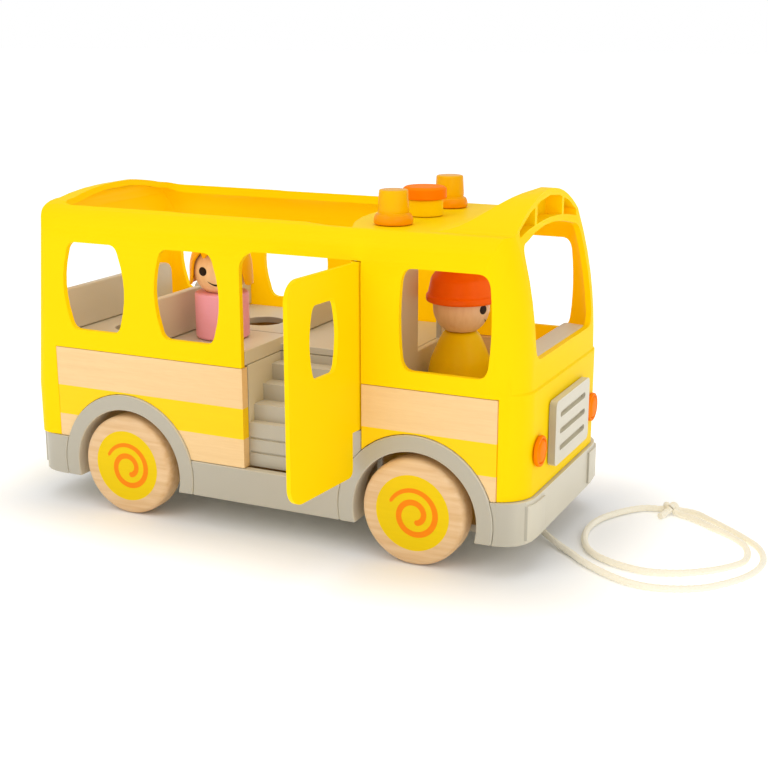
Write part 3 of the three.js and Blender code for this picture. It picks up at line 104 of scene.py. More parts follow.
def new_finish(name, **sockets):
    """A material with one Principled shader. Constant sockets are set here, patterns by the caller."""
    material = bpy.data.materials.new(name)
    material.use_nodes = True
    tree = material.node_tree
    shader = next(n for n in tree.nodes if n.type == "BSDF_PRINCIPLED")
    for key, value in sockets.items():
        shader.inputs[key.replace("_", " ")].default_value = value
    return material, tree, shader


def blend(tree, share, first, second):
    """A mix of two colours, each a hex code or a socket, by the share of the second."""
    first, second = (linear(c) if isinstance(c, str) else c for c in (first, second))
    return put(tree, "ShaderNodeMixRGB", {"Fac": share, "Color1": first, "Color2": second}).outputs["Color"]


# White paper with a painted glow, which fades to a painted shadow under and around the bus.
SHADE_HALF = (0.13, 0.055, 1.0)
SHADE_FADE = 90 * MM
PAPER_GLOW = 0.42
table_paper, tree, shader = new_finish("white_paper", Roughness=0.75, Emission_Color=linear("ffffff"))
place = put(tree, "ShaderNodeTexCoord").outputs["Object"]
cloud = put(tree, "ShaderNodeTexNoise", {"Vector": place, "Scale": 3.0, "Detail": 2.0})
tint = blend(tree, cloud.outputs["Fac"], "fbfbfb", "f8f8f7")
tree.links.new(tint, shader.inputs["Base Color"])
# Painted shadow: the glow is nil over the bus's footprint and grows to full within SHADE_FADE of it.
aside = put(tree, "ShaderNodeVectorMath", {0: place}, operation="ABSOLUTE")
beyond = put(tree, "ShaderNodeVectorMath", {0: aside.outputs[0], 1: SHADE_HALF}, operation="SUBTRACT")
beyond = put(tree, "ShaderNodeVectorMath", {0: beyond.outputs[0], 1: (0, 0, 0)}, operation="MAXIMUM")
away = put(tree, "ShaderNodeVectorMath", {0: beyond.outputs[0]}, operation="LENGTH")
painted_glow = put(tree, "ShaderNodeMapRange", {
    "Value": away.outputs["Value"], "From Max": SHADE_FADE, "To Max": PAPER_GLOW},
    interpolation_type="SMOOTHSTEP")
tree.links.new(painted_glow.outputs["Result"], shader.inputs["Emission Strength"])

FLOOR_REACH = 12.0
floor_mesh = bpy.data.meshes.new("table")
floor_corners = np.array([[-1, -1, 0], [1, -1, 0], [1, 1, 0], [-1, 1, 0]]) * FLOOR_REACH + [0, 0, GROUND]
floor_mesh.from_pydata(floor_corners.tolist(), [], [[0, 1, 2, 3]])
floor_mesh.materials.append(table_paper)
table = bpy.data.objects.new("table", floor_mesh)
scene.collection.objects.link(table)

ROOM_GLOW = 0.66
world = bpy.data.worlds.new("studio")
world.use_nodes = True
backdrop = world.node_tree.nodes["Background"]
backdrop.inputs["Color"].default_value = (1, 1, 1, 1)
seen = put(world.node_tree, "ShaderNodeLightPath").outputs["Is Camera Ray"]
glow = put(world.node_tree, "ShaderNodeMapRange", {"Value": seen, "To Min": ROOM_GLOW, "To Max": 1.0})
world.node_tree.links.new(glow.outputs["Result"], backdrop.inputs["Strength"])
scene.world = world

LIGHT_AIM = Vector((0.02, 0, 0.06))
SOFT_LIGHTS = {
    "key_left": ((-0.55, -1.05, 1.05), 1.0, 4.45),
    "fill_right": ((1.15, -0.75, 0.75), 0.9, 3.0),
    "overhead": ((0.0, 0.1, 1.5), 1.4, 5.3),
}
for light_name, (position, width, power) in SOFT_LIGHTS.items():
    lamp_data = bpy.data.lights.new(light_name, "AREA")
    lamp_data.size = width
    lamp_data.energy = power
    lamp = bpy.data.objects.new(light_name, lamp_data)
    lamp.location = position
    lamp.rotation_euler = (LIGHT_AIM - Vector(position)).to_track_quat("-Z", "Y").to_euler()
    scene.collection.objects.link(lamp)


# Chassis: grey ABS mouldings under the body: floor, bumpers, sills, wheel arches and door bearing.
# They are moulded in colour with a fine spark-eroded texture and softly rounded edges.
WELD = 0.01 * MM
FLAT = math.radians(0.6)
CREASE = math.radians(32)


def moulding(name, nodes, edge, body, finish):
    """CAD nodes copied as one mesh: loose triangles merged, flat faces joined, edges rounded by a bevel."""
    welded = bmesh.new()
    for node in nodes:
        welded.from_mesh(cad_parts[node].data)
    bmesh.ops.remove_doubles(welded, verts=welded.verts, dist=WELD)
    bmesh.ops.dissolve_limit(welded, angle_limit=FLAT, verts=welded.verts, edges=welded.edges)
    mesh = bpy.data.meshes.new(name)
    welded.to_mesh(mesh)
    welded.free()
    return dressed(name, mesh, nodes, edge, body, finish)


def dressed(name, mesh, nodes, edge, body, finish):
    """A finished piece: smooth faces, rounded edges, a material, its body and the nodes it stands for."""
    mesh.polygons.foreach_set("use_smooth", np.ones(len(mesh.polygons), bool))
    mesh.set_sharp_from_angle(angle=CREASE)
    mesh.materials.append(finish)
    piece = bpy.data.objects.new(name, mesh)
    scene.collection.objects.link(piece)
    if edge:
        bevel = piece.modifiers.new("rounded_edges", "BEVEL")
        bevel.width = edge
        bevel.segments = 3
        bevel.limit_method = "ANGLE"
        bevel.angle_limit = CREASE
        bevel.harden_normals = True
    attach(piece, body)
    if nodes:
        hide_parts(*nodes)
    return piece


def relief(tree, shader, height, strength, distance):
    """Fine bumps on a shader from a height socket."""
    bump = put(tree, "ShaderNodeBump", {"Height": height, "Strength": strength, "Distance": distance})
    tree.links.new(bump.outputs["Normal"], shader.inputs["Normal"])


def noise(tree, place, grain, detail):
    """A noise texture. Grain is its size in metres, one for all directions or one for each of X, Y and Z."""
    if isinstance(grain, tuple):
        scales = tuple(1 / size for size in grain)
        stretched = put(tree, "ShaderNodeMapping", {"Vector": place, "Scale": scales})
        return put(tree, "ShaderNodeTexNoise", {
            "Vector": stretched.outputs["Vector"], "Scale": 1.0, "Detail": detail})
    return put(tree, "ShaderNodeTexNoise", {"Vector": place, "Scale": 1 / grain, "Detail": detail})


# Moulded ABS: even colour, a satin skin and a texture of about 0.4 mm, drawn coarse enough to show.
# The flanks carry painted shade: they are a little darker than the faces that look forward or up.
grey_abs, tree, shader = new_finish("grey_abs", Roughness=0.42, IOR=1.53)
place = put(tree, "ShaderNodeTexCoord").outputs["Object"]
drift = noise(tree, place, 40 * MM, 3.0).outputs["Fac"]
tint = blend(tree, drift, "d2cab4", "dad3bf")
# Painted shade: faces that look sideways are mixed towards a darker grey.
normal = put(tree, "ShaderNodeNewGeometry").outputs["Normal"]
facing = put(tree, "ShaderNodeSeparateXYZ", {"Vector": normal})
sideways = put(tree, "ShaderNodeMath", {0: facing.outputs["Y"]}, operation="ABSOLUTE")
flank_painted_shade = put(tree, "ShaderNodeMapRange", {
    "Value": sideways.outputs["Value"], "From Min": 0.4, "From Max": 0.95, "To Max": 0.85})
shaded = blend(tree, flank_painted_shade.outputs["Result"], tint, "ada695")
tree.links.new(shaded, shader.inputs["Base Color"])
relief(tree, shader, noise(tree, place, 0.4 * MM, 2.0).outputs["Fac"], 0.12, 0.03 * MM)

CHASSIS_EDGE = 0.8 * MM
for node in ("chassis_floor", "front_bumper", "rear_bumper", "sill_right", "sill_left", "arch_front_right",
             "arch_front_left", "arch_rear_right", "arch_rear_left", "hinge_post"):
    moulding(f"{node}_moulding", [node], CHASSIS_EDGE, "bus", grey_abs)


# Running gear: plain drawn steel axles in grey bearers, held to the floor by pan-head screws.
# All of it is hidden above the floor, so the solids are used as they are.
drawn_steel, tree, shader = new_finish("drawn_steel", Metallic=1.0, Roughness=0.32)
place = put(tree, "ShaderNodeTexCoord").outputs["Object"]
draw_lines = noise(tree, place, (0.6 * MM, 9 * MM, 0.6 * MM), 3.0).outputs["Fac"]
tree.links.new(blend(tree, draw_lines, "b4b7bb", "cfd2d5"), shader.inputs["Base Color"])
for node in ("axle_front", "axle_rear", "screw_front_right", "screw_front_left", "screw_rear_right",
             "screw_rear_left", "door_pin_top", "door_pin_bottom"):
    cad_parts[node].data.materials.clear()
    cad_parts[node].data.materials.append(drawn_steel)
for node in ("axle_bearer_front", "axle_bearer_rear"):
    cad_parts[node].data.materials.clear()
    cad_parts[node].data.materials.append(grey_abs)


# Wheels: turned beech discs, lacquered, with a printed yellow disc and an orange spiral on the outer face.
# They are pressed on the axle ends and turn with it.
def softened(points, radius, steps=4):
    """A profile with each inner corner replaced by a short curve that starts and ends a radius from it."""
    points = np.array(points, float)
    made = [points[:1]]
    for before, corner, after in zip(points[:-2], points[1:-1], points[2:]):
        back = before - corner
        ahead = after - corner
        start = corner + back * min(radius / np.linalg.norm(back), 0.45)
        end = corner + ahead * min(radius / np.linalg.norm(ahead), 0.45)
        t = np.linspace(0, 1, steps + 1)[:, None]
        made.append((1 - t) ** 2 * start + 2 * t * (1 - t) * corner + t ** 2 * end)
    made.append(points[-1:])
    return np.concatenate(made)


def surface(name, points, wrap):
    """A grid of points, rows by columns, as quads. The columns close on themselves where wrap is true."""
    rows, columns = points.shape[:2]
    index = np.arange(rows * columns).reshape(rows, columns)
    across = np.roll(index, -1, axis=1) if wrap else index[:, 1:]
    start = index if wrap else index[:, :-1]
    faces = np.stack([start[:-1], across[:-1], across[1:], start[1:]], -1).reshape(-1, 4)
    mesh = bpy.data.meshes.new(name)
    mesh.from_pydata(points.reshape(-1, 3).tolist(), [], faces.tolist())
    joined = bmesh.new()
    joined.from_mesh(mesh)
    bmesh.ops.remove_doubles(joined, verts=joined.verts, dist=0.001 * MM)
    bmesh.ops.dissolve_degenerate(joined, edges=joined.edges, dist=0.0005 * MM)
    joined.to_mesh(mesh)
    joined.free()
    return mesh


def turned(name, profile, centre, axis, count=72):
    """A turned surface: rows of radius and height, in millimetres, carried round X, Y or Z through centre."""
    angle = np.arange(count) * 2 * np.pi / count
    radius = np.asarray(profile)[:, :1] * MM
    height = np.asarray(profile)[:, 1:] * MM + 0 * angle
    ring = np.stack([radius * np.cos(angle), radius * np.sin(angle), height], -1)
    ring = np.roll(ring, {"Z": 0, "X": 1, "Y": 2}[axis], axis=-1)
    return surface(name, ring + np.asarray(centre), True)


def wood_tone(tree, share, high, dark, light):
    """The colour of wood by its grain: dark up to the share GRAIN_LOW, light from the share high on."""
    tone = put(tree, "ShaderNodeValToRGB", {"Fac": share})
    for stop, position, colour in zip(tone.color_ramp.elements, (GRAIN_LOW, high), (dark, light)):
        stop.position = position
        stop.color = linear(colour)
    return tone.outputs["Color"]


GRAIN_LOW = 0.3

# Beech, turned and lacquered: fine long fibres and short darker flecks along the board.
wheel_beech, tree, shader = new_finish("wheel_beech", Roughness=0.45, IOR=1.5)
place = put(tree, "ShaderNodeTexCoord").outputs["Object"]
board = put(tree, "ShaderNodeMapping", {
    "Vector": place, "Rotation": (0, 0.5, 0), "Scale": (1 / (30 * MM), 1 / (2.2 * MM), 1 / (2.2 * MM))})
fibre = put(tree, "ShaderNodeTexNoise", {"Vector": board.outputs["Vector"], "Scale": 1.0, "Detail": 5.0})
tone = wood_tone(tree, fibre.outputs["Fac"], 0.72, "d9ae78", "e9c596")
tree.links.new(tone, shader.inputs["Base Color"])
relief(tree, shader, fibre.outputs["Fac"], 0.15, 0.05 * MM)


def print_finish(name, light, dark):
    """Flat, strong colour, as on screen-printed wood, with fibres that just show in its gloss."""
    material, tree, shader = new_finish(name, Roughness=0.4, Specular_IOR_Level=0.12)
    place = put(tree, "ShaderNodeTexCoord").outputs["Object"]
    fibre = noise(tree, place, (24 * MM, 1.6 * MM, 1.6 * MM), 4.0).outputs["Fac"]
    tree.links.new(blend(tree, fibre, light, dark), shader.inputs["Base Color"])
    relief(tree, shader, fibre, 0.08, 0.03 * MM)
    return material


# Screen-printed lacquer: a yellow disc and an orange spiral, each in one flat colour.
disc_print = print_finish("yellow_disc_print", "f0cc00", "e8c400")
spiral_print = print_finish("orange_spiral_print", "fa8c00", "f48200")

WHEEL_RADIUS = 25.4
WHEEL_FACE = 61.06
WHEEL_INNER = 48.6
HUB_INNER = 44.3
HUB_RADIUS = 5.4
BORE_RADIUS = 2.8
BORE_END = 57.6
DISC_RADIUS = 18.1
WHEEL_EDGE = 3.2
DISC_INSET = 6
PRINT_LIFT = 0.03
SPIRAL_OUTER = 12.9
SPIRAL_PITCH = 5.7
SPIRAL_TURNS = 1.68
SPIRAL_HALF_WIDTH = 1.4
SPIRAL_START = math.radians(158)
SPIRAL_TIP = 0.6
SPIRAL_SWELL = 0.4
SPIRAL_ASIDE = 0.9
SPIRAL_DROP = 1.0
WHEELS = {
    "wheel_front_right": (79.6, -1, "front_wheelset"), "wheel_front_left": (79.6, 1, "front_wheelset"),
    "wheel_rear_right": (-77.3, -1, "rear_wheelset"), "wheel_rear_left": (-77.3, 1, "rear_wheelset"),
}
rim_profile = softened([
    (BORE_RADIUS, HUB_INNER), (HUB_RADIUS, HUB_INNER), (HUB_RADIUS, WHEEL_INNER), (WHEEL_RADIUS, WHEEL_INNER),
    (WHEEL_RADIUS, WHEEL_FACE), (DISC_RADIUS, WHEEL_FACE)], WHEEL_EDGE, 8)
wheel_profile = np.concatenate([
    [(0, BORE_END), (BORE_RADIUS, BORE_END)], rim_profile,
    [(DISC_RADIUS - DISC_INSET, WHEEL_FACE), (0, WHEEL_FACE)]])
for node, (axle_x, side, wheelset) in WHEELS.items():
    hub = np.array([axle_x, 0, WHEEL_RADIUS]) * MM + [0, 0, GROUND]
    wheel = turned(f"{node}_disc", wheel_profile * [1, side], hub, "Y", 96)
    shaped = bmesh.new()
    shaped.from_mesh(wheel)
    bmesh.ops.recalc_face_normals(shaped, faces=shaped.faces)
    shaped.to_mesh(wheel)
    shaped.free()
    dressed(f"{node}_disc", wheel, [node], 0, wheelset, wheel_beech)
    wheel.materials.append(disc_print)
    centres = np.zeros(len(wheel.polygons) * 3)
    wheel.polygons.foreach_get("center", centres)
    offset = centres.reshape(-1, 3) - hub
    reach = np.hypot(offset[:, 0], offset[:, 2])
    printed = (np.abs(offset[:, 1]) > (WHEEL_FACE - 0.01) * MM) & (reach < DISC_RADIUS * MM)
    wheel.polygons.foreach_set("material_index", printed.astype(np.int32))

    # The spiral is a ribbon whose middle line draws in evenly with the turn and whose ends are round.
    turn = np.linspace(0, SPIRAL_TURNS, 180)[:, None]
    middle = SPIRAL_OUTER - SPIRAL_PITCH * turn
    run = np.minimum(turn, SPIRAL_TURNS - turn) * 2 * np.pi * np.clip(middle, 3, None) / SPIRAL_HALF_WIDTH
    swell = SPIRAL_TIP + (1 - SPIRAL_TIP) * np.clip(turn / SPIRAL_SWELL, 0, 1)
    half = SPIRAL_HALF_WIDTH * swell * np.sqrt(np.clip(1 - np.clip(1 - run, 0, 1) ** 2, 0, 1))
    across = middle + half * np.linspace(1, -1, 5)
    angle = SPIRAL_START - 2 * np.pi * turn
    ribbon = np.stack([
        -side * (across * np.cos(angle) + SPIRAL_ASIDE), side * (WHEEL_FACE + PRINT_LIFT) + 0 * across,
        across * np.sin(angle) - SPIRAL_DROP], -1)
    spiral = surface(f"{node}_spiral", ribbon * MM + hub, False)
    dressed(f"{node}_spiral", spiral, [], 0, wheelset, spiral_print)


# Pull cord: soft cream cotton braid, knotted above the chassis floor, with a hand loop tied in its far end.
# It drops through a hole in the floor and lies on the table in two loose rings.
CORD_DIAMETER = 3.5
CORD_RADIUS = CORD_DIAMETER / 2
CORD_STRANDS = 6
CORD_LAY = 6.4
CORD_WEAVE = 0.14
CORD_TUCK = 0.2
LEAD_DROP = [
    (118, 0, 15.5), (118.2, -0.2, 11.2), (119.2, -1, 8.1), (121.9, -3.2, 4.9), (125.6, -6.2, 3.5),
    (130, -9.7, 2.7), (136, -14.6, 2.1),
]
LEAD_LAY = [
    (143, -20.2), (149.5, -26.4), (159, -33.4), (168.8, -38.9), (178, -41.9), (187, -42), (196.8, -39),
    (206, -33.6), (214.4, -24.1), (221, -13), (224.6, -1), (224.6, 11), (220, 24), (212, 33.4), (201.5, 43),
    (191.7, 51), (183, 57.4), (175.6, 58.2),
]
LOOP_LAY = [
    (165.8, 56.4), (158.6, 54.4), (151.6, 47.4), (146.2, 38.8), (142, 29), (140.2, 16.8), (141.8, 3.4),
    (146.6, -9), (153, -16.8), (161, -21.7), (170, -24.8), (180, -25.8), (192, -22), (202, -15.4),
    (211, -6.2), (216.8, 4), (216.6, 15.6), (212.4, 25.8), (205, 33.6), (196, 40), (187.4, 46.8),
    (180.6, 51), (175.6, 53.2),
]
LEAD_KNOT_END = (172.6, 57.2, 2.4)
LOOP_KNOT_START = (168.9, 56.6, 2.4)
LOOP_KNOT_END = (172.8, 54.6, 2.4)
CORD_SPACING = 0.65
CORD_COLUMNS = 17
lead_lay = [(x, y, CORD_RADIUS) for x, y in LEAD_LAY]
loop_lay = [(x, y, CORD_RADIUS) for x, y in LOOP_LAY]
lead_route = [*LEAD_DROP, *lead_lay, LEAD_KNOT_END]
loop_route = [LOOP_KNOT_START, *loop_lay, LOOP_KNOT_END]


def cord_line(route, spacing):
    """A centripetal Catmull-Rom curve through the route's points, in even steps, in metres."""
    points = np.array(route, float)
    points = np.concatenate([2 * points[:1] - points[1:2], points, 2 * points[-1:] - points[-2:-1]])
    a, b, c, d = points[:-3], points[1:-2], points[2:-1], points[3:]
    ab, bc, cd = (np.sqrt(np.linalg.norm(q - p, axis=1))[:, None] for p, q in ((a, b), (b, c), (c, d)))
    leave = ((b - a) / ab - (c - a) / (ab + bc) + (c - b) / bc) * bc
    arrive = ((c - b) / bc - (d - b) / (bc + cd) + (d - c) / cd) * bc
    t = np.linspace(0, 1, 24, endpoint=False)[:, None, None]
    dense = ((2 * t ** 3 - 3 * t ** 2 + 1) * b + (t ** 3 - 2 * t ** 2 + t) * leave
             + (3 * t ** 2 - 2 * t ** 3) * c + (t ** 3 - t ** 2) * arrive)
    dense = np.concatenate([dense.transpose(1, 0, 2).reshape(-1, 3), points[-2:-1]])
    travelled = np.concatenate([[0], np.cumsum(np.linalg.norm(np.diff(dense, axis=0), axis=1))])
    even = np.linspace(0, travelled[-1], int(travelled[-1] / spacing) + 1)
    line = np.stack([np.interp(even, travelled, dense[:, i]) for i in range(3)], -1)
    return line * MM + [0, 0, GROUND], travelled[-1] * MM


def cord_tube(name, line):
    """A round braided section carried along a line and drawn in to a point at each end."""
    ahead = np.gradient(line, axis=0)
    ahead /= np.linalg.norm(ahead, axis=1)[:, None]
    lean = np.clip(np.abs(ahead[:, 2:]), 0, 1)
    guide = np.array([0, 0, 1.0]) * (1 - lean) + np.array([0.6, 0.8, 0]) * lean
    aside = np.cross(ahead, guide)
    aside /= np.linalg.norm(aside, axis=1)[:, None]
    upward = np.cross(aside, ahead)
    angle = np.linspace(2 * np.pi, 0, CORD_COLUMNS)
    length = np.concatenate([[0], np.cumsum(np.linalg.norm(np.diff(line, axis=0), axis=1))])
    phase = 2 * np.pi * length[:, None] / (CORD_LAY * MM)
    weave = np.cos(CORD_STRANDS * angle / 2 + phase) * np.cos(CORD_STRANDS * angle / 2 - phase)
    radius = (CORD_RADIUS - CORD_TUCK + CORD_WEAVE * weave) * MM
    ring = (line[:, None] + radius[..., None] * (
        np.cos(angle)[None, :, None] * aside[:, None] + np.sin(angle)[None, :, None] * upward[:, None]))
    tips = [np.repeat(end[:, None], CORD_COLUMNS, 1) for end in (line[:1], line[-1:])]
    ring = np.concatenate([tips[0], ring, tips[1]])
    ring[:, -1] = ring[:, 0]
    return surface(name, ring, False)


# Cotton braid: dull, matt and slightly uneven, with the crossing strands about 3 mm apart.
cotton_braid, tree, shader = new_finish("cotton_braid", Roughness=0.9, Sheen_Weight=0.25)
place = put(tree, "ShaderNodeTexCoord").outputs["Object"]
fluff = noise(tree, place, 0.7 * MM, 4.0).outputs["Fac"]
tree.links.new(blend(tree, fluff, "f4ead0", "fffaea"), shader.inputs["Base Color"])
relief(tree, shader, fluff, 0.3, 0.15 * MM)


def braid(name, line, nodes):
    """A length of cord along a line, standing for the nodes."""
    return dressed(name, cord_tube(name, line), nodes, 0, "bus", cotton_braid)


lead_line, lead_length = cord_line(lead_route, CORD_SPACING)
loop_line, loop_length = cord_line(loop_route, CORD_SPACING)
lead = braid("cord_lead_braid", lead_line, ["cord_lead"])
loop = braid("cord_loop_braid", loop_line, ["cord_loop"])

# The knot is the cord turned over itself in three lobes, with its cut end lying beside it.
KNOT_CENTRE = (170.8, 55.6, 3.4)
KNOT_LOBE = 1.25
KNOT_FOLD = 1.25
KNOT_RISE = 1.2
turn = np.linspace(0, 2 * np.pi, 73)
lobes = np.stack([
    KNOT_CENTRE[0] + KNOT_LOBE * (np.sin(turn) + KNOT_FOLD * np.sin(2 * turn)),
    KNOT_CENTRE[1] + KNOT_LOBE * (np.cos(turn) - KNOT_FOLD * np.cos(2 * turn)),
    KNOT_CENTRE[2] - KNOT_RISE * np.sin(3 * turn)], -1)
TAIL_ROUTE = [(170.4, 54.8, 2.8), (169.8, 51.8, 2.4), (169.1, 48.8, 1.9), (167.8, 45.8, CORD_RADIUS)]
knot_line = lobes * MM + [0, 0, GROUND]
knot = braid("cord_knot_braid", knot_line, ["cord_knot"])
tail_line = cord_line(TAIL_ROUTE, CORD_SPACING)[0]
tail = braid("cord_tail_braid", tail_line, [])


# Interior: grey ABS seat deck with peg sockets, seat backs, stairs, bulkhead, cab floor and dashboard.
# The mouldings clip together inside the body and share the chassis finish.
INTERIOR_EDGE = 0.9 * MM
for node in ("seat_deck", "rear_bench_back", "seat_back_right", "seat_back_left", "seat_back_front", "stairs",
             "bulkhead", "cab_floor", "dashboard"):
    moulding(f"{node}_moulding", [node], INTERIOR_EDGE, "bus", grey_abs)


# Side panels: planed beech boards let in flush, lacquered, with a broad yellow stripe printed along them.
# The grain runs along the bus.
STRIPE_LOW = 47.6 * MM + GROUND
STRIPE_HIGH = 62.8 * MM + GROUND
FLECK_SHARE = 0.35
panel_beech, tree, shader = new_finish("panel_beech", IOR=1.5, Specular_IOR_Level=0.2)
place = put(tree, "ShaderNodeTexCoord").outputs["Object"]
fibre = noise(tree, place, (70 * MM, 3 * MM, 3 * MM), 6.0)
fleck = noise(tree, place, (6 * MM, 0.6 * MM, 0.6 * MM), 2.0)
grain = blend(tree, FLECK_SHARE, fibre.outputs["Color"], fleck.outputs["Color"])
tone = wood_tone(tree, grain, 0.7, "eac48c", "f6d39c")
height = put(tree, "ShaderNodeSeparateXYZ", {"Vector": place}).outputs["Z"]
above = put(tree, "ShaderNodeMath", {0: height, 1: STRIPE_LOW}, operation="GREATER_THAN")
below = put(tree, "ShaderNodeMath", {0: height, 1: STRIPE_HIGH}, operation="LESS_THAN")
stripe = put(tree, "ShaderNodeMath", {0: above.outputs[0], 1: below.outputs[0]}, operation="MULTIPLY")
paint = blend(tree, fibre.outputs["Fac"], "ffd600", "fbce00")
tree.links.new(blend(tree, stripe.outputs[0], tone, paint), shader.inputs["Base Color"])
gloss = put(tree, "ShaderNodeMapRange", {"Value": grain, "To Min": 0.4, "To Max": 0.52})
tree.links.new(gloss.outputs["Result"], shader.inputs["Roughness"])
relief(tree, shader, grain, 0.12, 0.05 * MM)
PANEL_EDGE = 0.25 * MM
for node in ("panel_right_rear", "panel_right_front", "panel_left"):
    moulding(f"{node}_board", [node], PANEL_EDGE, "bus", panel_beech)


# Body shell: one yellow ABS moulding: rear wall, sides with their windows, cab roof, brow and front.
# The five solids that hold it meet in flat seams, which the join removes.
SHELL_EDGE = 0.9 * MM
SHELL_WELD = 0.03 * MM
INNER_PAINTED_GLOW = 0.26
SHELL_NODES = ["side_wall_right", "cab_roof", "side_wall_left", "rear_wall", "front_fascia"]
# Moulded ABS in strong yellow: even and satin. The faces that look inwards carry painted shade,
# which makes them a deeper yellow, and a painted glow.
yellow_abs, tree, shader = new_finish("yellow_abs", Roughness=0.45, IOR=1.53, Specular_IOR_Level=0.04)
place = put(tree, "ShaderNodeTexCoord").outputs["Object"]
drift = noise(tree, place, 50 * MM, 3.0).outputs["Fac"]
tint = blend(tree, drift, "ffd500", "ffd904")
outward = put(tree, "ShaderNodeVectorMath", {0: place, 1: (0.3, 1, 0)}, operation="MULTIPLY")
facing = put(tree, "ShaderNodeNewGeometry").outputs["Normal"]
looks_out = put(tree, "ShaderNodeVectorMath", {0: outward.outputs[0], 1: facing}, operation="DOT_PRODUCT")
inward_painted_shade = put(tree, "ShaderNodeMapRange", {
    "Value": looks_out.outputs["Value"], "From Min": -30 * MM, "From Max": -10 * MM,
    "To Min": 1.0, "To Max": 0.0}).outputs["Result"]
tree.links.new(blend(tree, inward_painted_shade, tint, "ffcc00"), shader.inputs["Base Color"])
# Painted glow: the faces that look inwards give out a little orange-yellow light, though they are no lamp.
shader.inputs["Emission Color"].default_value = linear("ffbe00")
painted_inner_glow = put(tree, "ShaderNodeMath", {0: inward_painted_shade, 1: INNER_PAINTED_GLOW}, operation="MULTIPLY")
tree.links.new(painted_inner_glow.outputs[0], shader.inputs["Emission Strength"])
relief(tree, shader, noise(tree, place, 0.9 * MM, 2.0).outputs["Fac"], 0.06, 0.04 * MM)

walls = []
for node in SHELL_NODES:
    wall_mesh = bpy.data.meshes.new(f"{node}_wall")
    welded = bmesh.new()
    welded.from_mesh(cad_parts[node].data)
    bmesh.ops.remove_doubles(welded, verts=welded.verts, dist=WELD)
    welded.to_mesh(wall_mesh)
    welded.free()
    wall = bpy.data.objects.new(f"{node}_wall", wall_mesh)
    scene.collection.objects.link(wall)
    walls.append(wall)
for wall in walls[1:]:
    join = walls[0].modifiers.new(f"join_{wall.name}", "BOOLEAN")
    join.operation = "UNION"
    join.solver = "EXACT"
    join.object = wall
joined_walls = walls[0].evaluated_get(bpy.context.evaluated_depsgraph_get())
shell_mesh = bpy.data.meshes.new_from_object(joined_walls)
for wall in walls:
    bpy.data.objects.remove(wall)
shell_mesh.name = "body_shell"
shell_mesh.materials.clear()
welded = bmesh.new()
welded.from_mesh(shell_mesh)
bmesh.ops.remove_doubles(welded, verts=welded.verts, dist=SHELL_WELD)
bmesh.ops.dissolve_limit(welded, angle_limit=FLAT, verts=welded.verts, edges=welded.edges)
welded.to_mesh(shell_mesh)
welded.free()
dressed("body_shell", shell_mesh, SHELL_NODES, SHELL_EDGE, "bus", yellow_abs)


# Door: a yellow ABS leaf with a barrel-shaped window, moulded like the body shell.
# It hangs at its front edge on two steel pins, one in the roof rail and one in the lower bearing.
moulding("door_leaf_moulding", ["door"], SHELL_EDGE, "door_leaf", yellow_abs)


# Front: orange ABS headlights in plain rims and a grey slotted grille.
# They are moulded apart and pressed into the front wall.
orange_abs, tree, shader = new_finish("orange_abs", Roughness=0.45, IOR=1.53, Specular_IOR_Level=0.03)
place = put(tree, "ShaderNodeTexCoord").outputs["Object"]
drift = noise(tree, place, 12 * MM, 2.0).outputs["Fac"]
tree.links.new(blend(tree, drift, "ff8a00", "ff8000"), shader.inputs["Base Color"])
relief(tree, shader, noise(tree, place, 0.7 * MM, 2.0).outputs["Fac"], 0.05, 0.03 * MM)


def lathe(name, profile, seat, axis, nodes, body, finish):
    """A turned piece, dressed, that stands for the nodes."""
    return dressed(name, turned(name, profile, seat, axis), nodes, 0, body, finish)


GRILLE_EDGE = 0.6 * MM
moulding("grille_moulding", ["grille"], GRILLE_EDGE, "bus", grey_abs)
HEADLIGHT_RADIUS = 7.1
HEADLIGHT_PROUD = 2.6
RING_WALL = 1.5
RING_PROUD = 1.9
LENS_RADIUS = HEADLIGHT_RADIUS - 1.6
LENS_SIDE = 1.5
LENS_SHOULDER = 4.2
ring_inner = HEADLIGHT_RADIUS - RING_WALL
for node in ("headlight_right", "headlight_left"):
    low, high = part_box(node)
    seat = np.array([low.x, (low.y + high.y) / 2, (low.z + high.z) / 2])
    lens = softened([
        (0, 0), (LENS_RADIUS, 0), (LENS_RADIUS, LENS_SIDE), (LENS_SHOULDER, HEADLIGHT_PROUD - 0.3),
        (0, HEADLIGHT_PROUD - 0.15)], 1.2)
    lathe(f"{node}_lens", lens, seat, "X", [node], "bus", orange_abs)
    ring = softened([
        (ring_inner, 0), (HEADLIGHT_RADIUS, 0), (HEADLIGHT_RADIUS, RING_PROUD), (ring_inner, RING_PROUD),
        (ring_inner, 0)], 0.6)
    lathe(f"{node}_ring", ring, seat, "X", [], "bus", orange_abs)


# Roof: two translucent amber beacons and an orange push button on a yellow boss, between them.
# The button slides on the boss against a spring.
amber_clear, tree, shader = new_finish(
    "amber_clear", Roughness=0.25, IOR=1.49, Specular_IOR_Level=0.08, Transmission_Weight=0.06)
place = put(tree, "ShaderNodeTexCoord").outputs["Object"]
drift = noise(tree, place, 10 * MM, 2.0).outputs["Fac"]
tint = blend(tree, drift, "ffc404", "ffbc00")
# Painted shade makes the lens deeper where it is seen edge on, and a painted reflection of the roof below
# colours its foot.
rim_painted_shade = put(tree, "ShaderNodeLayerWeight", {"Blend": 0.2}).outputs["Facing"]
lens_tone = blend(tree, rim_painted_shade, tint, "f4a000")
BEACON_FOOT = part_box("beacon_right")[0].z
lens_height = put(tree, "ShaderNodeSeparateXYZ", {"Vector": place}).outputs["Z"]
foot_share = put(tree, "ShaderNodeMapRange", {
    "Value": lens_height, "From Min": BEACON_FOOT + 4 * MM, "From Max": BEACON_FOOT + 5.5 * MM})
foot_painted_reflection = blend(tree, foot_share.outputs["Result"], "ffa400", lens_tone)
tree.links.new(foot_painted_reflection, shader.inputs["Base Color"])

